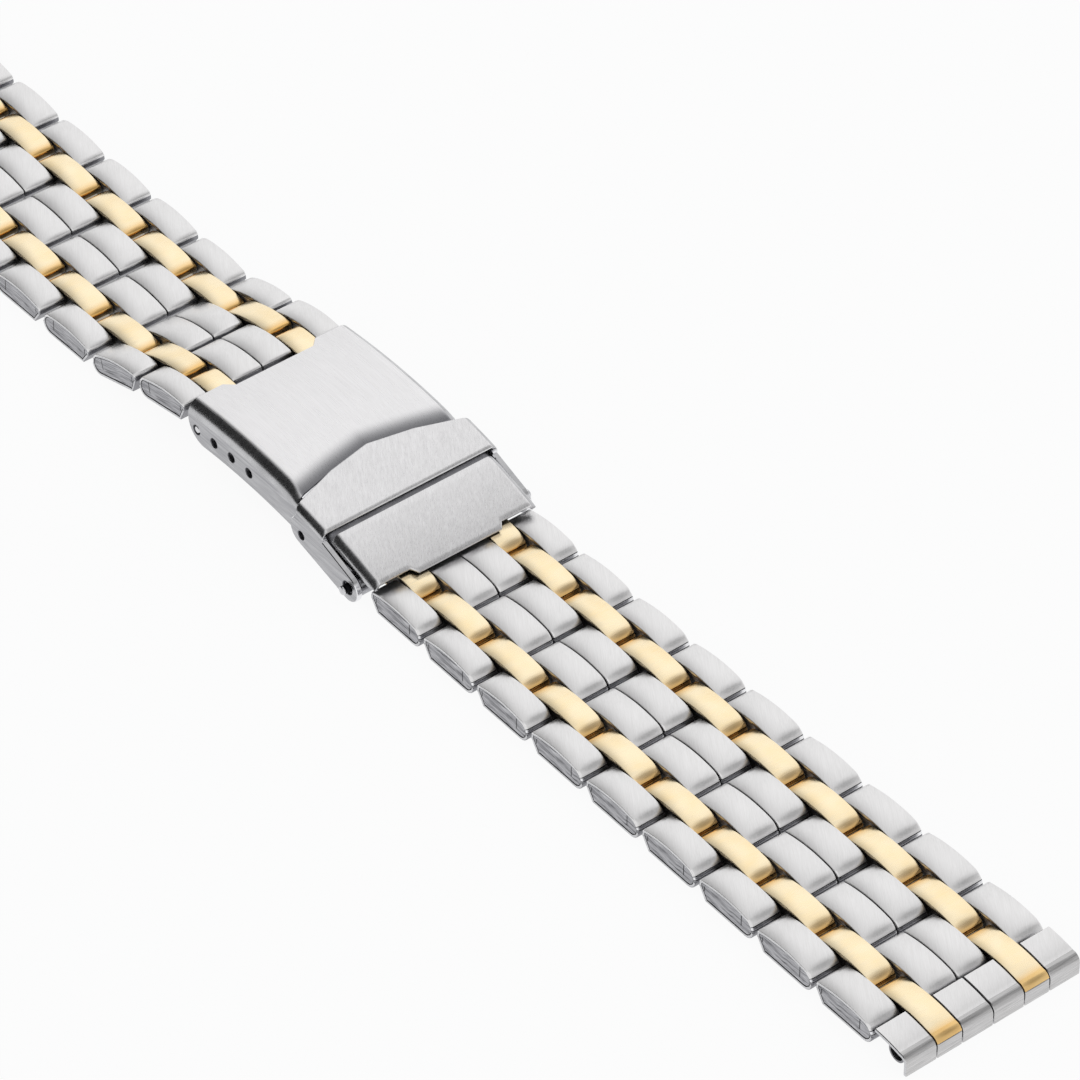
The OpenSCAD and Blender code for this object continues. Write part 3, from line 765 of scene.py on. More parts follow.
@dataclass(frozen=True)
class FoldedLink:
    """One link: sheet folded round a flat core, domed on top, with a round nose at its outer end.

    The nose's turns are degrees above the level, with two thin joints of the folded sheet's end.
    """

    length: float = 7.5
    thickness: float = 2.55
    dome_drop: float = 0.5
    sheet: float = 0.3
    nose: float = 1.15
    heel_run: float = 0.9
    heel_rise: float = 1.35
    end_height: float = 0.3
    recess: float = 0.05
    core_gap: float = 0.07
    core_joint: float = 0.2
    burr: float = 0.03
    lip: float = 0.04
    corner: float = 0.32
    bevel: float = 0.07
    corner_bevel: float = 0.13
    nose_bevel: float = 0.24
    nose_ease: Pair = (1.1, 0.6)
    joint_deep: float = 0.1
    joint_x: float = 0.3
    joint_half: float = 0.02
    nose_turns: tuple[float, ...] = (72, 66, 60, 54, 48, 42, 37, 33, 32.4, 29.6, 29, 25, 21, 17, 13,
                                     12.4, 9.6, 9, 4.5, 0)
    nose_joints: tuple[float, ...] = (32.4, 29.6, 12.4, 9.6)

    @property
    def dome_radius(self) -> float:
        """Radius of the arc that falls by dome_drop over half the link's length."""
        return ((self.length / 2) ** 2 + self.dome_drop ** 2) / (2 * self.dome_drop)

    @property
    def dome_centre(self) -> float:
        """Height of the dome's centre in the link's own frame."""
        return self.thickness / 2 - self.dome_radius

    def dome(self, x: Array | float, inset: float = 0.0) -> Array:
        """Height of the domed top at x, on the dome's radius less inset."""
        return self.dome_centre + np.sqrt((self.dome_radius - inset) ** 2 - np.square(x))

    def floor(self, x: Array) -> Array:
        """Height of the underside: slanted heel, flat bottom, round nose.

        Args:
            x: places along the link.

        Returns:
            The height at each of them.
        """
        half, low = self.length / 2, -self.thickness / 2
        heel = low + self.heel_rise * (1 - (x + half) / self.heel_run)
        nose_x = half - self.nose
        round_end = low + self.nose - np.sqrt(np.maximum(self.nose ** 2 - np.square(x - nose_x), 0.0))
        return np.where(x < -half + self.heel_run, heel, np.where(x > nose_x, round_end, low))

    def inner_end(self) -> Array:
        """Works out the inner end and its rounded top corner, an arc that touches the end and the dome.

        Returns:
            Points of X and Z from the end's lowest point to the dome.
        """
        x = -self.length / 2 + self.corner
        z = float(self.dome(x, self.corner))
        start = math.degrees(math.atan2(z - self.dome_centre, x))
        return np.vstack([[-self.length / 2, self.end_height], circle(x, z, self.corner, 7, 180.0, start)])

    def outline(self) -> Outline:
        """Works out the upper chain, end, dome and nose arc with two joints, and the lower one under it.

        Returns:
            The side view of the whole link.
        """
        half, joint = self.length / 2, self.joint_x
        nose_x, nose_z = half - self.nose, -self.thickness / 2 + self.nose
        inner = self.inner_end()
        near = 2.5 * self.joint_half
        xs = np.concatenate([np.linspace(inner[-1, 0], joint - near, 12)[1:],
                             [joint - self.joint_half, joint + self.joint_half],
                             np.linspace(joint + near, nose_x, 8)])
        dome_end = math.atan2(nose_z - self.dome_centre, nose_x)
        angle = np.minimum(np.radians(self.nose_turns), dome_end)
        nose = points_of(nose_x + self.nose * np.cos(angle), nose_z + self.nose * np.sin(angle))
        upper = np.vstack([inner, points_of(xs, self.dome(xs)), nose])
        lower = points_of(upper[:, 0], self.floor(upper[:, 0]))
        lower[0], lower[-1] = upper[0], upper[-1]
        count, total = len(upper), 2 * len(upper) - 2
        flat = count - len(nose)
        groove = np.zeros(total)
        groove[flat:count][np.isin(self.nose_turns, self.nose_joints)] = self.joint_deep
        back = np.abs(lower[-2:0:-1, 0] - joint) < 1.5 * self.joint_half
        groove[count:][back] = self.joint_deep
        ease = np.clip((upper[:, 0] - (half - self.nose_ease[0])) / self.nose_ease[1], 0.0, 1.0)
        bevel = np.full(total, self.bevel)
        bevel[:count] += (self.nose_bevel - self.bevel) * ease
        bevel[1:len(inner) - 1] += self.corner_bevel - self.bevel
        # The dome's finish goes on over the nose to the first joint, a strip lies between the joints
        finish = np.full(total, Skin.UNDER)
        finish[1:flat + 7] = Skin.TOP
        # The nose's joints are near black: dark joints, and painted shade in their grooves
        finish[flat + 7:flat + 17] = Skin.SEAM
        finish[flat + 10:flat + 14] = Skin.STRIP
        finish[count - 1:-1][back | np.roll(back, -1)] = Skin.SEAM
        return Outline(upper, lower, groove, bevel, finish)

    def add_to(self, surface: Surface, place: RowPlace, outline: Outline, sides: Pair,
               slope: Pair = (0.0, 0.0)) -> None:
        """Carries the outline across the link: core face, joint, sheet edge, bevel, and the same back.

        Each ring is the outline's loop moved inwards along its normals, at its own distance from the
        link's side.

        Args:
            surface: surface that gets the link.
            place: the row's place.
            outline: side view of the link.
            sides: where the link's two sides lie across the bracelet.
            slope: how much each side moves outwards with each millimetre along the link.
        """
        loop, normals, edge = outline.loop, outline.normals(), outline.bevel
        core = self.sheet + self.core_gap
        # Distance from the side, inset and share of the joints' depth of each ring
        rings = [(self.recess, core, 0.0), (self.core_joint, core - 0.005, 0.0),
                 (self.core_joint, self.sheet, 0.0), (self.burr, self.sheet + self.burr - self.lip, 0.0),
                 (0.0, self.sheet - self.lip, 0.0), (0.0, edge, 0.0), (0.3 * edge, 0.3 * edge, 0.5),
                 (edge, 0.0, 1.0)]
        still = np.zeros_like(edge)
        stations = [(sides[0] + off + still, inset, cut) for off, inset, cut in rings]
        stations += [(sides[1] - off + still, inset, cut) for off, inset, cut in reversed(rings)]
        y = np.stack([s[0] for s in stations])
        inset = np.stack([s[1] + s[2] * outline.groove for s in stations])
        x = loop[:, 0] - inset * normals[:, 0]
        z = loop[:, 1] - inset * normals[:, 1]
        share = (y - sides[0]) / (sides[1] - sides[0])
        y = y + x * (slope[0] + (slope[1] - slope[0]) * share)
        slots = np.tile(outline.finish, (len(stations) - 1, 1))
        # The joint between core and sheet is near black: a dark joint, and painted shade deep in it
        slots[:3] = slots[-3:] = Skin.SEAM
        slots[3:5] = slots[-5:-3] = Skin.EDGE
        close = [np.concatenate([a, a[:, :1]], 1) for a in (x, y, z)]
        surface.grid(place.at(*close), slots, points_of(close[0], close[1]))
        count = len(outline.upper)
        share = np.linspace(0.0, 1.0, 4)[:, None]
        for row in (0, -1):
            top = [a[row, :count] for a in (x, y, z)]
            low = [np.concatenate([a[row, :1], a[row, count:][::-1], a[row, count - 1:count]])
                   for a in (x, y, z)]
            face = [t + (b - t) * share for t, b in zip(top, low)]
            surface.grid(place.at(*face), Skin.CORE, points_of(face[0], face[2]))


@dataclass(frozen=True)
class BraceletHalf:
    """Nine gold rows and nine steel rows of one half, each its own piece on its own body."""

    side: Side
    link: FoldedLink = FoldedLink()
    columns: Columns = Columns()
    rows: int = 18
    pin_radius: float = 0.5
    pin_cover: float = 0.5
    pin_flats: int = 20

    def build(self) -> None:
        """Builds the rows from the clasp outwards: even ones gold, odd ones steel with two pins."""
        chain = Chain(self.side)
        outline = self.link.outline()
        for k in range(self.rows):
            metal, word = ("steel" if k % 2 else "gold"), f"{self.side.word}_{(k + 1) // 2}"
            surface = Surface(f"{metal}_links_{word}", STEEL_SKINS if k % 2 else GOLD_SKINS)
            place = chain.place(k)
            for sides, slope in self.columns.at_row(k):
                self.link.add_to(surface, place, outline, sides, slope)
            if k % 2:
                reach = self.columns.outer_line(k)[0] - self.pin_cover
                for x, z in chain.pins()[k:k + 2]:
                    lathe(surface, x, z, ring(0.0, self.pin_radius, -reach, reach), Skin.UNDER,
                          self.pin_flats)
            surface.build(f"{metal}_{word}", "brushed_steel" if k % 2 else "gold_plate",
                          f"{metal}_row_{word}")


@dataclass(frozen=True)
class Clasp:
    """Sizes that the cover and the flap share, in the clasp's own frame: X 0 at the first link."""

    end_bar: Pair = (-2.25, 1.5)
    arch_centre: Pair = (-20.9, -66.0)
    arch_radius: float = 73.0
    cover_left: float = -28.0
    cover_half: float = 9.6
    cover_sheet: float = 0.6
    band_depth: float = 0.7
    band_sheet: float = 0.5
    plate_depth: float = 0.3
    wall_depth: float = 4.3
    wall_right: float = -4.4
    wall_corner: float = 2.4
    fold: float = 0.85
    foot: float = 0.15
    v_tip: float = -12.9
    v_mid: float = -12.0
    v_side: float = -10.85
    v_mid_y: float = 4.9
    flap_half: float = 10.35
    flap_sheet: float = 0.6
    flap_side: float = -10.1
    flap_right: float = -6.0
    flap_step: float = 0.12
    hole: float = 0.5
    hole_step: float = 2.75
    hole_first: float = -26.65
    hole_depth: float = 2.75
    holes: int = 4
    snap: Pair = (-9.3, 3.1)
    snap_hole: float = 0.45
    arm_end: float = 1.5
    hinge: Pair = (-6.4, 3.3346)
    hinge_hole: float = 0.46
    rim: float = 0.07

    def move(self) -> Array:
        """Shift to the shared frame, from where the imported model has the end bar."""
        bar = next(j for j in frame["joints"] if j["name"] == "flap_lift")["pos_m"]
        return np.array([bar[0] / MM - self.end_bar[0], 0.0, bar[2] / MM - self.end_bar[1]])

    def height(self, x: Array | float, depth: Array | float = 0.0) -> Array:
        """Height of the arch at x, depth below its outside: the circle round the arch's centre."""
        return self.arch_centre[1] + np.sqrt(
            (self.arch_radius - depth) ** 2 - np.square(x - self.arch_centre[0]))

    def along(self, x: Array, depth: float) -> Array:
        """Points of X and Z on the arch at x, depth below its outside."""
        return points_of(x, self.height(x, depth))

    def adjust_hole(self, number: int) -> Pair:
        """X and Z of an adjusting hole, counted from the cover's left end."""
        x = self.hole_first + number * self.hole_step
        return x, float(self.height(x, self.hole_depth))

    def cover_edge(self, y: Array) -> Array:
        """X of the cover's V-shaped edge: straight pieces between its tip, its bend and its side."""
        return np.interp(np.abs(y), [0.0, self.v_mid_y, self.cover_half],
                         [self.v_tip, self.v_mid, self.v_side])

    def flap_edge(self, y: Array) -> Array:
        """X of the flap's V-shaped edge, a step behind the cover's."""
        return np.interp(np.abs(y), [0.0, self.v_mid_y, self.flap_half],
                         [self.v_tip + self.flap_step, self.v_mid + self.flap_step, self.flap_side])

    def section(self, half: float, fold: float, low: float, stops: tuple[float, ...],
                deep: float | None = None) -> Array:
        """Outline across a folded channel as Y and depth, from one wall to the other.

        Each fold is a quarter of an ellipse, fold wide and deep high.

        Args:
            half: half the channel's width.
            fold: radius of its two folds.
            low: depth at which the walls end.
            stops: distances from the middle that the top must pass through.
            deep: height of the folds, the same as their width if left out.

        Returns:
            Points of Y and depth.
        """
        deep = deep or fold
        turn = np.radians(np.linspace(0.0, 90.0, 15))
        arc = points_of(half - fold + fold * np.cos(turn), deep - deep * np.sin(turn))
        down = np.array([[half, low], [half, deep + 0.6 * (low - deep)]]) if low > deep else np.empty((0, 2))
        top = spread(half - fold, *sorted(stops, reverse=True), 0.0, step=0.6)[1:]
        right = np.vstack([down, arc, points_of(top, 0.0)])
        return np.vstack([right, right[:-1][::-1] * [-1.0, 1.0]])

    def swept(self, section: Array, left: Array, right: Array, share: Array, depth: float,
              roll: Pair = (0.0, 1.0), roll_left: Pair = (0.0, 1.0)) -> Array:
        """Sweeps a section round the arch between a left and a right edge.

        A rolled edge falls by the square of how far a point lies inside the roll's length. The fall
        fades with a point's depth in the section, so the walls' feet stay level.

        Args:
            section: Y and depth of the section's points.
            left: X of the left edge for each of them.
            right: X of the right edge for each of them.
            share: places between the two edges, from nought to one.
            depth: depth of the whole sheet below the arch.
            roll: fall and length of the rolled right edge.
            roll_left: the same of the left edge.

        Returns:
            Grid of points, section by share.
        """
        y, below, left, right = section[:, :1], section[:, 1:], left[:, None], right[:, None]
        x = left + (right - left) * share
        z = self.height(x, depth + below)
        fade = 1.0 - below / max(float(below.max()), TINY)
        for (fall, length), inside in ((roll, right - x), (roll_left, x - left)):
            z = z - fade * fall * np.square(np.clip(1 - inside / length, 0.0, 1.0))
        return points_of(x, y, z)


def edge_share(length: float, rim: float, roll: float = 0.0, count: int = 26) -> Array:
    """Places along a sheet from nought to one, with close ones at both edges and in a rolled end.

    Args:
        length: about how long the sheet is.
        rim: size of its edges.
        roll: length of the rolled end.
        count: number of places before the roll.

    Returns:
        The places.
    """
    close = rim / length
    body = np.linspace(close, 1 - close - roll / length, count)
    tail = np.linspace(1 - close - roll / length, 1 - close, 13)[1:] if roll else np.empty(0)
    return np.concatenate([[0.0], body, tail, [1.0]])


def fold_slots(section: Array, columns: int, flat: int, fold: int, wall: int) -> Array:
    """Slots of a folded channel's quads, by the slope of its section: flat, then fold, then wall.

    Args:
        section: Y and depth of the section's points.
        columns: quads along the channel.
        flat: slot of the flat top.
        fold: slot of the folds.
        wall: slot of the upright parts.

    Returns:
        Slot for each quad, section by column.
    """
    step = np.abs(np.diff(section, axis=0))
    slope = np.degrees(np.arctan2(step[:, 1], step[:, 0]))
    # The fold's and the wall's finishes are darker copies of the flat's: painted shade by slope
    slots = np.where(slope > WALL_FROM, wall, np.where(slope > FOLD_FROM, fold, flat))
    return np.tile(slots[:, None], (1, columns))


@dataclass(frozen=True)
class ClaspCover:
    """Cover of the clasp: arched plate with a notch and a V edge, band, front plate and side walls.

    A roll is a fall and the length over which an edge falls. The front plate's folds are cut back
    between the two depths of plate_cut. Lengths are round ones, used to place points near the edges.
    """

    clasp: Clasp = Clasp()
    notch: float = 0.9
    notch_y: float = 4.6
    notch_corner_y: float = 5.5
    roll: Pair = (0.42, 2.1)
    top_length: float = 16.0
    band_length: float = 6.0
    plate_length: float = 6.4
    plate_left: float = -5.66
    plate_right: float = 0.9
    plate_tongue: float = 1.6
    tongue_y: float = 4.9
    tongue_corner_y: float = 5.4
    plate_fold: float = 1.0
    plate_cut_back: float = 1.2
    plate_cut: Pair = (0.55, 1.0)
    plate_roll: Pair = (0.1, 0.5)
    plate_roll_left: Pair = (0.12, 0.35)
    side_wide: float = 1.25
    side_deep: float = 1.5
    band_under: float = 0.6
    lip_inner_y: float = 4.95
    lip_outer: float = 0.75
    lip_over: float = 0.3
    lip_depth: float = 0.5
    lip_sheet: float = 0.3
    lip_rim: float = 0.05
    surface: Surface = field(default_factory=lambda: Surface("cover_shell", COVER_SKINS))

    @property
    def side_low(self) -> float:
        """Depth at which the main plate's folds end and the walls begin."""
        return self.side_deep + self.clasp.foot

    def build(self) -> None:
        """Builds the cover's sheets and walls as one piece on the clasp's body."""
        self._main_plate()
        self._band()
        self._front_plate()
        for sign in SIGNS:
            self._wall(sign)
        self.surface.build("cover", "brushed_steel", "clasp_cover", self.clasp.move())

    def _main_plate(self) -> None:
        """Top of the cover with its folds and the notch in its left edge; its V edge rolls down."""
        c = self.clasp
        section = c.section(c.cover_half, self.side_wide, self.side_low,
                            (self.notch_corner_y, c.v_mid_y, self.notch_y), self.side_deep)
        y = section[:, 0]
        left = np.interp(np.abs(y), [self.notch_y, self.notch_corner_y],
                         [c.cover_left + self.notch, c.cover_left])
        right = c.cover_edge(y)
        share = edge_share(self.top_length, c.rim, self.roll[1], 34)
        outer = c.swept(section, left, right, share, 0.0, self.roll)
        slots = fold_slots(section, outer.shape[1] - 1, Sheet.TOP, Sheet.FOLD, Sheet.WALL)
        maps = points_of(right[:, None] - outer[..., 0], outer[..., 1])
        thick_sheet(self.surface, outer, c.cover_sheet, (0.0, 0.0, c.rim, c.rim),
                    (slots, Sheet.CUT, Sheet.INSIDE), maps)

    def _band(self) -> None:
        """Band that the flap lies in, and the bright lip that shows beside the flap's corners."""
        c = self.clasp
        section = c.section(c.cover_half, c.fold, c.fold + c.foot, (c.v_mid_y,))
        y = section[:, 0]
        left = c.cover_edge(y) + np.where(np.abs(y) > c.cover_half - c.fold, 0.0, -self.band_under)
        right = np.full_like(y, self.plate_left + c.band_sheet)
        outer = c.swept(section, left, right, edge_share(self.band_length, c.rim), c.band_depth)
        thick_sheet(self.surface, outer, c.band_sheet, (0.0,) * 4,
                    (Sheet.RECESS, Sheet.RECESS, Sheet.INSIDE))
        for sign in SIGNS:
            y = sign * spread(self.lip_inner_y, c.cover_half - self.lip_outer, step=0.5)
            left = c.cover_edge(y)[:, None] - self.lip_over
            right = c.flap_edge(y)[:, None] + self.lip_over
            x = left + (right - left) * np.linspace(0, 1, 6)
            lip = points_of(x, y[:, None], c.height(x, self.lip_depth))
            thick_sheet(self.surface, lip, self.lip_sheet, (self.lip_rim,) * 4,
                        (Sheet.CUT, Sheet.CUT, Sheet.INSIDE))

    def _front_plate(self) -> None:
        """Plate in front of the flap, with its tongue, its two rolled ends and its folds cut back."""
        c = self.clasp
        section = c.section(c.cover_half, self.plate_fold, self.plate_fold,
                            (self.tongue_corner_y, self.tongue_y))
        y, below = section.T
        left = np.full_like(y, self.plate_left)
        right = np.interp(np.abs(y), [self.tongue_y, self.tongue_corner_y],
                          [self.plate_tongue, self.plate_right])
        cut_from, cut_full = self.plate_cut
        right = right - self.plate_cut_back * np.clip((below - cut_from) / (cut_full - cut_from), 0.0, 1.0)
        share = edge_share(self.plate_length, c.rim, self.plate_roll[1], 16)
        outer = c.swept(section, left, right, share, c.plate_depth, self.plate_roll, self.plate_roll_left)
        slots = fold_slots(section, outer.shape[1] - 1, Sheet.FRONT, Sheet.FOLD, Sheet.FOLD)
        thick_sheet(self.surface, outer, c.band_sheet, (c.rim,) * 4, (slots, Sheet.CUT, Sheet.INSIDE))

    def _wall(self, sign: int) -> None:
        """One side wall: adjusting holes, the hinge pin's hole and a rounded lower corner.

        Args:
            sign: side of the clasp on which it stands.
        """
        c = self.clasp
        turn_x = c.cover_left + c.wall_corner
        corner_z = float(c.height(turn_x, c.wall_depth)) + c.wall_corner
        top = c.along(spread(c.v_side, c.cover_left, step=0.5), self.side_low)
        corner = circle(turn_x, corner_z, c.wall_corner, 13, 180, 270)
        bottom = c.along(spread(turn_x, c.wall_right, step=0.5)[1:], c.wall_depth)
        band = c.along(spread(c.wall_right, c.v_side, step=0.5), c.band_depth + c.fold + c.foot)
        sharp = np.repeat([True, False, True], [len(top), len(corner) + len(bottom), len(band)])
        loops = [(np.vstack([top, corner, bottom, band]), sharp)]
        loops += [(circle(*c.adjust_hole(i), c.hole)[::-1], False) for i in range(c.holes)]
        loops.append((circle(*c.hinge, c.hinge_hole, 24)[::-1], True))
        faces = (sign * c.cover_half, sign * (c.cover_half - c.cover_sheet))
        upright_plate(self.surface, loops, faces, c.rim)


@dataclass(frozen=True)
class SafetyFlap:
    """Flap over the clasp: V-edged plate flush with the cover, and two arms to the end bar.

    The bulge is the round lower end of the wall beside the snap hole: its centre, radius and angles.
    """

    clasp: Clasp = Clasp()
    recess: float = 0.7
    recess_deep: float = 0.2
    recess_lap: float = 0.02
    bar_hole: float = 0.51
    arm_turn: float = 18.7
    roll: Pair = (0.12, 0.4)
    length: float = 4.5
    wall_left: tuple[Pair, ...] = ((-10.32, 4.89), (-10.54, 4.6))
    wall_right: float = 4.4
    bulge: tuple[float, float, float, int, float, float] = (-9.35, 3.55, 1.6, 15, 152, 258)
    surface: Surface = field(default_factory=lambda: Surface("flap_shell", FLAP_SKINS))

    def build(self) -> None:
        """Builds the flap's plate and its two walls as one piece."""
        self._plate()
        for sign in SIGNS:
            self._wall(sign)
        self.surface.build("safety_flap", "brushed_steel", "safety_flap", self.clasp.move())

    def _plate(self) -> None:
        """Top of the flap with its folds; its right edge rolls down a little."""
        c = self.clasp
        section = c.section(c.flap_half, c.fold, c.fold + c.foot, (c.v_mid_y,))
        y = section[:, 0]
        outer = c.swept(section, c.flap_edge(y), np.full_like(y, c.flap_right),
                        edge_share(self.length, c.rim, self.roll[1], 14), 0.0, self.roll)
        slots = fold_slots(section, outer.shape[1] - 1, Sheet.TOP, Sheet.FOLD, Sheet.WALL)
        thick_sheet(self.surface, outer, c.flap_sheet, (0.0, 0.0, c.rim, c.rim),
                    (slots, Sheet.CUT, Sheet.INSIDE))

    def _wall(self, sign: int) -> None:
        """One wall and arm: outline by straight pieces and arcs, a snap hole and the bar's hole.

        Args:
            sign: side of the clasp on which it stands.
        """
        c = self.clasp
        arc = c.along(spread(c.flap_right, c.flap_side, step=0.4), c.fold + c.foot)
        end = circle(*c.end_bar, c.arm_end, 30, -90.0 - self.arm_turn, 90.0 - self.arm_turn)
        loop = np.vstack([arc, self.wall_left, circle(*self.bulge), end, [c.flap_right, self.wall_right]])
        outer, inner = c.flap_half, c.flap_half - c.flap_sheet
        loops = [(loop, np.arange(len(loop)) < len(arc)), (circle(*c.snap, c.snap_hole)[::-1], False),
                 (circle(*c.end_bar, self.recess, 36)[::-1], False)]
        upright_plate(self.surface, loops, (sign * outer, sign * inner), c.rim)
        lathe(self.surface, *c.end_bar, ring(self.bar_hole, self.recess + self.recess_lap, sign * inner,
                                             sign * (outer - self.recess_deep)), Sheet.INSIDE)


@dataclass(frozen=True)
class BarTip:
    """Turned tip of a spring bar, from start to end in Y.

    Each cut of its profile is how far a point lies under the tip's radius and before its end.
    """

    radius: float
    start: float
    end: float
    cuts: tuple[Pair, ...]

    def add_to(self, surface: Surface, at: Pair, slot: int | Array) -> None:
        """Turns the tip's profile on both sides of the clasp.

        Args:
            surface: surface that gets the two tips.
            at: X and Z of the bar.
            slot: finish slot, or one for each point of the profile.
        """
        shape = np.vstack([[0.0, self.start], [self.radius, self.start],
                           [self.radius, self.end] - np.array(self.cuts), [0.0, self.end]])
        for sign in SIGNS:
            lathe(surface, *at, shape * [1.0, sign], slot)


@dataclass(frozen=True)
class SpringBars:
    """The two spring bars' tips: turned pins with rounded ends, the end bar's with a groove."""

    clasp: Clasp = Clasp()
    end_tip: BarTip = BarTip(0.45, 9.5, 11.1, (
        (0.0, 0.42), (0.12, 0.38), (0.12, 0.26), (0.0, 0.22), (0.0, 0.13), (0.03, 0.06), (0.09, 0.02),
        (0.18, 0.0)))
    adjust_tip: BarTip = BarTip(0.44, 8.9, 9.55, ((0.0, 0.12), (0.12, 0.0)))

    def build(self) -> None:
        """Builds both pairs of tips, each on the body that carries its bar."""
        c = self.clasp
        ends = Surface("end_bar_turned_tips", TIP_SKINS)
        # Up to the groove's outer side the tip is painted dark as shade in the hole, past it the turned steel
        # is bright
        self.end_tip.add_to(ends, c.end_bar, np.repeat([1, 0], [5, 6]))
        ends.build("lower_blade", "turned_steel", "end_bar_tips", c.move())
        tips = Surface("adjust_bar_turned_tips", TIP_SKINS[:1])
        self.adjust_tip.add_to(tips, c.adjust_hole(0), 0)
        tips.build("cover", "turned_steel", "adjust_bar_tips", c.move())


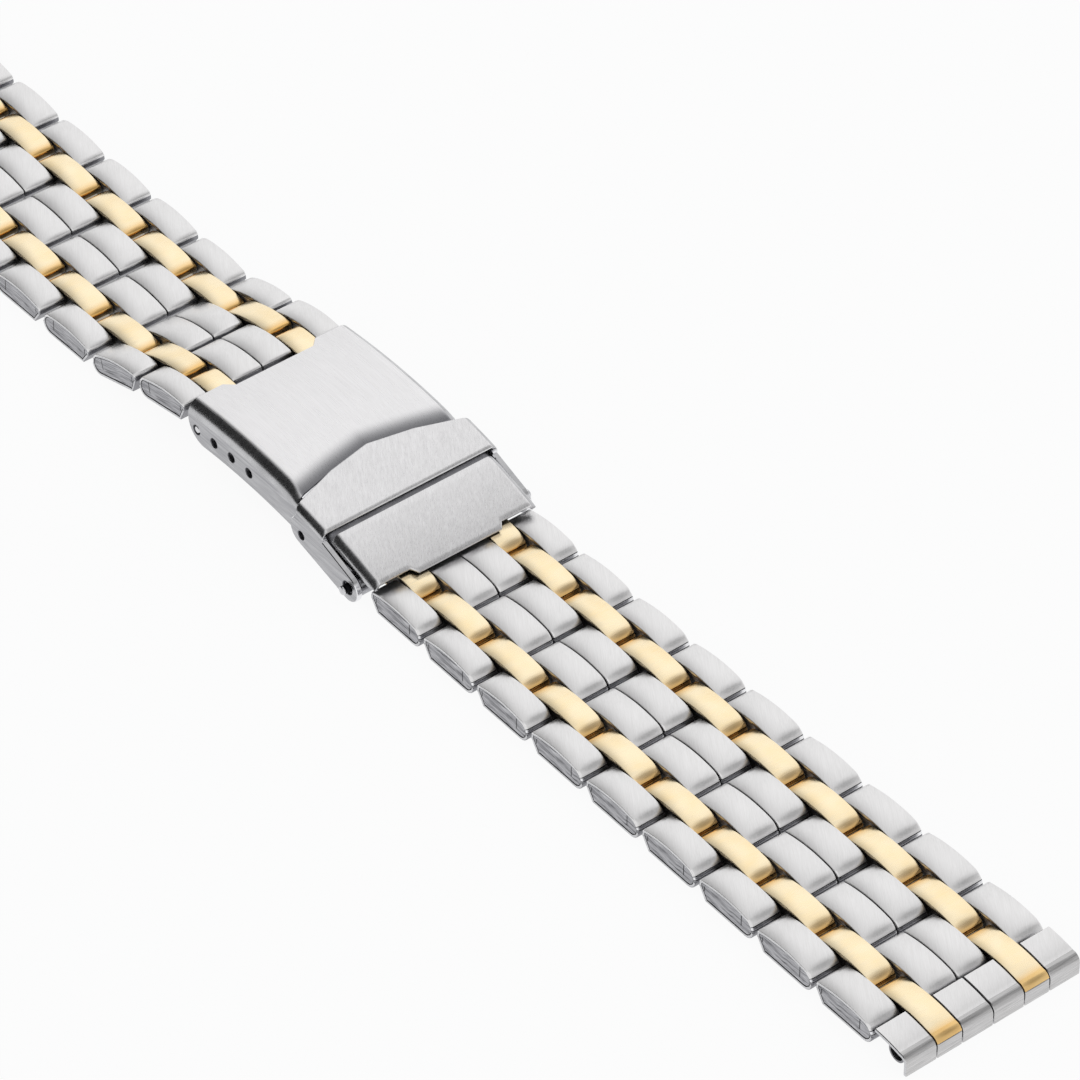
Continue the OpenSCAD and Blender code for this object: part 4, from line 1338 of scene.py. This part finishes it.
@dataclass(frozen=True)
class EndPiece:
    """End of a half: four steel segments rolled over into one front, two gold caps and a tube."""

    side: Side
    link: FoldedLink = FoldedLink()
    cap: FoldedLink = FoldedLink(sheet=0.1, recess=0.04)
    columns: Columns = Columns()
    row: int = 18
    start: float = 0.1
    close: float = 0.08
    roll_centre: float = 3.4
    roll_rise: float = 0.02
    roll: float = 0.9
    crease: float = 0.1
    crease_lead: float = 0.12
    crease_turn: float = 78.0
    sheet: float = 0.4
    cap_sheet: float = 0.3
    cap_turn: float = 24.0
    cap_inner: float = 0.5
    cap_bevel: float = 0.05
    cap_step: float = 0.02
    cap_lap: float = 3.0
    half: float = 10.0
    tube: Pair = (2.3, -0.275)
    tube_radius: float = 1.0
    bore: float = 0.8
    tube_half: float = 9.4
    under: float = 0.25
    layer: float = 0.12
    layer_start: float = 0.2
    layer_turn: float = 70.0
    layer_low: float = -0.8
    layer_inset: float = 0.3
    rim: float = 0.06

    def build(self) -> None:
        """Builds the steel body and the gold caps, both on the end piece's own body."""
        place = Chain(self.side).place(self.row)
        self._steel(place)
        self._caps(place)

    def _front(self, turn_from: float, turn_to: float, count: int, inset: float = 0.0) -> Array:
        """Arc of the rolled front between two angles above the level, moved inwards by inset."""
        top = float(self.link.dome(self.roll_centre)) + self.roll_rise
        return circle(self.roll_centre, top - self.roll, self.roll - inset, count, turn_from, turn_to)

    def _profile(self) -> Array:
        """Outside of the steel sheet along the bracelet: domed top, rolled front and upright foot.

        Returns:
            Points of X and Z.
        """
        xs = spread(self.start, self.start + self.close, self.roll_centre - self.crease_lead, step=0.4)
        front = self._front(self.crease_turn, 0.0, 14)
        low = -self.link.thickness / 2
        foot = spread(front[-1, 1], low + self.close, low, step=0.4)[1:]
        return np.vstack([points_of(xs, self.link.dome(xs)), front, points_of(front[-1, 0], foot)])

    def _segment(self, surface: Surface, place: RowPlace, profile: Array, sides: Pair,
                 slots: tuple[int, int, int]) -> None:
        """Carries the profile across one segment, with the front's own finish past the crease.

        Args:
            surface: surface that gets the segment.
            place: the end piece's place.
            profile: its outside along the bracelet.
            sides: where its two sides lie across the bracelet.
            slots: slots of its top, its edges and its inside.
        """
        y = np.concatenate([sides[:1], spread(sides[0] + self.rim, sides[1] - self.rim, step=0.8), sides[1:]])
        outer = place.at(profile[None, :, 0], y[:, None], profile[None, :, 1])
        past = (profile[:-1, 0] + profile[1:, 0]) / 2 > self.roll_centre - self.crease
        top = np.tile(np.where(past, Skin.FRONT, slots[0]), (len(y) - 1, 1))
        thick_sheet(surface, outer, self.sheet, (self.rim,) * 4, (top, *slots[1:]))

    def _steel(self, place: RowPlace) -> None:
        """Four steel segments, the front below the gold caps, the layer under the joints and the tube.

        Args:
            place: the end piece's place.
        """
        surface = Surface(f"end_segments_{self.side.word}", STEEL_SKINS)
        profile = self._profile()
        for sides in self.columns.centre_sides + mirrored(self.columns.outer_start, self.half):
            self._segment(surface, place, profile, sides, (Skin.TOP, Skin.EDGE, Skin.UNDER))
        below = np.vstack([self._front(self.cap_turn - self.cap_lap, 0.0, 7), profile[-3:]])
        for sides in self.columns.gold_sides:
            self._segment(surface, place, below, sides, (Skin.FRONT, Skin.FRONT, Skin.UNDER))
        # The layer under the joints is painted near black: shade that shows through the gaps between segments
        xs = spread(self.layer_start, self.roll_centre, step=0.5)
        layer = np.vstack([points_of(xs, self.link.dome(xs) - self.under),
                           self._front(self.layer_turn, 0.0, 8, self.under),
                           [self.roll_centre + self.roll - self.under, self.layer_low]])
        y = np.linspace(-self.half + self.layer_inset, self.half - self.layer_inset, 3)
        thick_sheet(surface, place.at(layer[None, :, 0], y[:, None], layer[None, :, 1]), self.layer,
                    (0.0,) * 4, (Skin.SEAM, Skin.SEAM, Skin.UNDER))
        x, _, z = place.at(self.tube[0], 0.0, self.tube[1])
        lathe(surface, x, z, ring(self.bore, self.tube_radius, -self.tube_half, self.tube_half), Skin.UNDER)
        surface.build(f"end_piece_{self.side.word}", "brushed_steel", f"end_sheet_{self.side.word}")

    def _caps(self, place: RowPlace) -> None:
        """Two gold caps: a link's inner end that runs on over the crease as a thin sheet.

        Args:
            place: the end piece's place.
        """
        link = self.link
        inner = link.inner_end()
        thin_from = self.cap_inner + self.cap_step
        xs = np.concatenate([np.linspace(inner[-1, 0], self.cap_inner, 10)[1:], [thin_from],
                             spread(self.cap_inner + self.cap_sheet, self.roll_centre - self.crease_lead)])
        front = self._front(self.crease_turn, self.cap_turn, 10)
        upper = np.vstack([inner, points_of(xs, link.dome(xs)), front])
        x = upper[:, 0]
        thin = link.dome(np.minimum(x, self.roll_centre), self.cap_sheet)
        lower = points_of(x, np.where(x > thin_from - self.cap_step / 2, thin, link.floor(x)))
        lower[-len(front):] = self._front(self.crease_turn, self.cap_turn, 10, self.cap_sheet)
        lower[0] = upper[0]
        tip = (upper[-1] + lower[-1]) / 2
        upper, lower = np.vstack([upper, tip]), np.vstack([lower, tip])
        last, total = len(upper) - 2, 2 * len(upper) - 2
        finish = np.full(total, Skin.UNDER)
        finish[1:last] = Skin.TOP
        finish[last - len(front):last] = Skin.FRONT
        outline = Outline(upper, lower, np.zeros(total), np.full(total, self.cap_bevel), finish)
        surface = Surface(f"end_gold_caps_{self.side.word}", GOLD_SKINS)
        for sides in self.columns.gold_sides:
            self.cap.add_to(surface, place, outline, sides)
        surface.build(f"end_piece_{self.side.word}", "gold_plate", f"end_caps_{self.side.word}")


@dataclass(frozen=True)
class DarkCard:
    """A dark card of the studio, mirrored in the metal: its way from the object, as a direction.

    Near and full are how close to that way, as a cosine, it starts and is whole. Tone is its brightness.
    """

    way: tuple[float, float, float]
    near: float
    full: float
    tone: float


@dataclass(frozen=True)
class Lamp:
    """A square soft lamp that points at the object."""

    name: str
    at: tuple[float, float, float]
    size: float
    watts: float


@dataclass(frozen=True)
class Studio:
    """Pale floor, soft light and the camera at the photograph's angle."""

    azimuth: float = 51.39
    elevation: float = 41.51
    target: tuple[float, float, float] = (16.59, 8.8, 0.04)
    distance: float = 601.6
    lens: float = 214.2
    sensor: float = 36.0
    floor_half: float = 4.0
    floor_glow: float = 0.93
    world_strength: float = 0.75
    cards: tuple[DarkCard, ...] = (
        DarkCard((-0.6, -0.7, 0.38), 0.36, 0.72, 0.03), DarkCard((0.3, 0.47, 0.83), 0.84, 0.98, 0.42),
        DarkCard((0.8, 0.45, 0.4), 0.75, 0.97, 0.7))
    # The key stands behind on the left, a weak fill on the right
    lamps: tuple[Lamp, ...] = (Lamp("key", (-0.55, 0.6, 0.9), 0.7, 0.12),
                               Lamp("fill", (0.6, -0.35, 0.8), 0.6, 0.05))

    def build(self) -> None:
        """Sets up the floor, the world, the lamps, the camera and the colour view."""
        self._floor()
        self._world()
        self._lamps()
        self._camera()
        bpy.context.scene.view_settings.view_transform = "Standard"

    def _place(self, name: str, data: bpy.types.ID) -> bpy.types.Object:
        """Puts a mesh, lamp or camera into the scene.

        Args:
            name: name of its object.
            data: the mesh, lamp or camera.

        Returns:
            The object.
        """
        thing = bpy.data.objects.new(name, data)
        bpy.context.scene.collection.objects.link(thing)
        return thing

    def _seen(self, tree: Tree) -> tuple[Socket, Node]:
        """Adds the share that is one for what is looked at, also in a gloss or through glass.

        Args:
            tree: node tree that gets the nodes.

        Returns:
            The camera's own rays, and their sum with glossy and transmission rays, at most one.
        """
        path = add(tree, "LightPath").outputs
        both = add(tree, "Math", {"operation": "ADD"}, {0: path["Is Camera Ray"], 1: path["Is Glossy Ray"]})
        return path["Is Camera Ray"], add(tree, "Math", {"operation": "ADD", "use_clamp": True}, {
            0: both, 1: path["Is Transmission Ray"]})

    def _floor(self) -> None:
        """A wide pale plane: its matt paint keeps the shadow, and its glow makes it near white."""
        mesh = bpy.data.meshes.new("floor")
        far = self.floor_half
        mesh.from_pydata([(-far, -far, 0), (far, -far, 0), (far, far, 0), (-far, far, 0)], [], [(0, 1, 2, 3)])
        material = bpy.data.materials.new("matt_white_floor_paint")
        tree = bare_tree(material)
        paint = add(tree, "BsdfDiffuse", {"Color": linear("F2F2F2")})
        glow = add(tree, "Emission", {"Color": linear("FFFFFF"), "Strength": 1.0})
        share = add(tree, "Math", {"operation": "MULTIPLY", 1: self.floor_glow}, {0: self._seen(tree)[1]})
        mix = add(tree, "MixShader", {}, {0: share, 1: paint, 2: glow})
        add(tree, "OutputMaterial", {}, {"Surface": mix})
        mesh.materials.append(material)
        self._place("floor", mesh)

    def _world(self) -> None:
        """White surroundings with three soft dark cards, which give the metal its darker turns.

        A card's tone goes by the dot product of its way and the way looked at, by a smooth step.
        """
        world = bpy.data.worlds.new("studio")
        bpy.context.scene.world = world
        tree = bare_tree(world)
        way = add(tree, "TexCoord").outputs["Generated"]
        tone = None
        for card in self.cards:
            dot = add(tree, "VectorMath", {
                "operation": "DOT_PRODUCT", 1: tuple(Vector(card.way).normalized())}, {0: way})
            dark = add(tree, "MapRange", {
                "interpolation_type": "SMOOTHSTEP", "From Min": card.near, "From Max": card.full,
                "To Min": 1.0, "To Max": card.tone}, {"Value": dot})
            tone = dark if tone is None else add(tree, "Math", {"operation": "MULTIPLY"}, {0: tone, 1: dark})
        camera_ray, share = self._seen(tree)
        shown = add(tree, "Math", {"operation": "MAXIMUM"}, {0: tone, 1: camera_ray})
        light = add(tree, "Background", {"Color": linear("F4F6F8"), "Strength": self.world_strength})
        studio = add(tree, "Background", {"Strength": 1.0}, {"Color": shown})
        mix = add(tree, "MixShader", {}, {0: share, 1: light, 2: studio})
        add(tree, "OutputWorld", {}, {"Surface": mix})

    def _lamps(self) -> None:
        """Large soft lamps round the object."""
        for lamp in self.lamps:
            data = bpy.data.lights.new(lamp.name, "AREA")
            data.shape, data.size, data.energy = "SQUARE", lamp.size, lamp.watts
            holder = self._place(lamp.name, data)
            holder.location = lamp.at
            holder.rotation_euler = (-Vector(lamp.at)).to_track_quat("-Z", "Y").to_euler()

    def _camera(self) -> None:
        """Camera on a sphere round the target, looking at it."""
        az, el = math.radians(self.azimuth), math.radians(self.elevation)
        away = Vector((math.sin(az) * math.cos(el), -math.cos(az) * math.cos(el), math.sin(el)))
        data = bpy.data.cameras.new("camera")
        data.lens, data.sensor_width, data.clip_start = self.lens, self.sensor, 0.01
        camera = self._place("camera", data)
        turn = (-away).to_track_quat("-Z", "Y").to_matrix().to_4x4()
        camera.matrix_world = Matrix.Translation((Vector(self.target) + away * self.distance) * MM) @ turn
        bpy.context.scene.camera = camera


def main() -> None:
    """Builds the bracelet from the clasp outwards, then the studio."""
    logging.basicConfig(level=logging.INFO, format="%(name)s: %(message)s")
    ClaspCover().build()
    SafetyFlap().build()
    SpringBars().build()
    for side in Side:
        BraceletHalf(side).build()
        EndPiece(side).build()
    for node in ("middle_blade", "lower_blade"):
        dress(node, "blade")
    for node in ("snap_studs", "cover_hinge_pin", "blade_hinge_pin", "end_bar_tube", "end_bar_spring",
                 "adjust_bar_tube", "adjust_bar_spring"):
        dress(node, "turned")
    Studio().build()


if __name__ == "__main__":
    main()
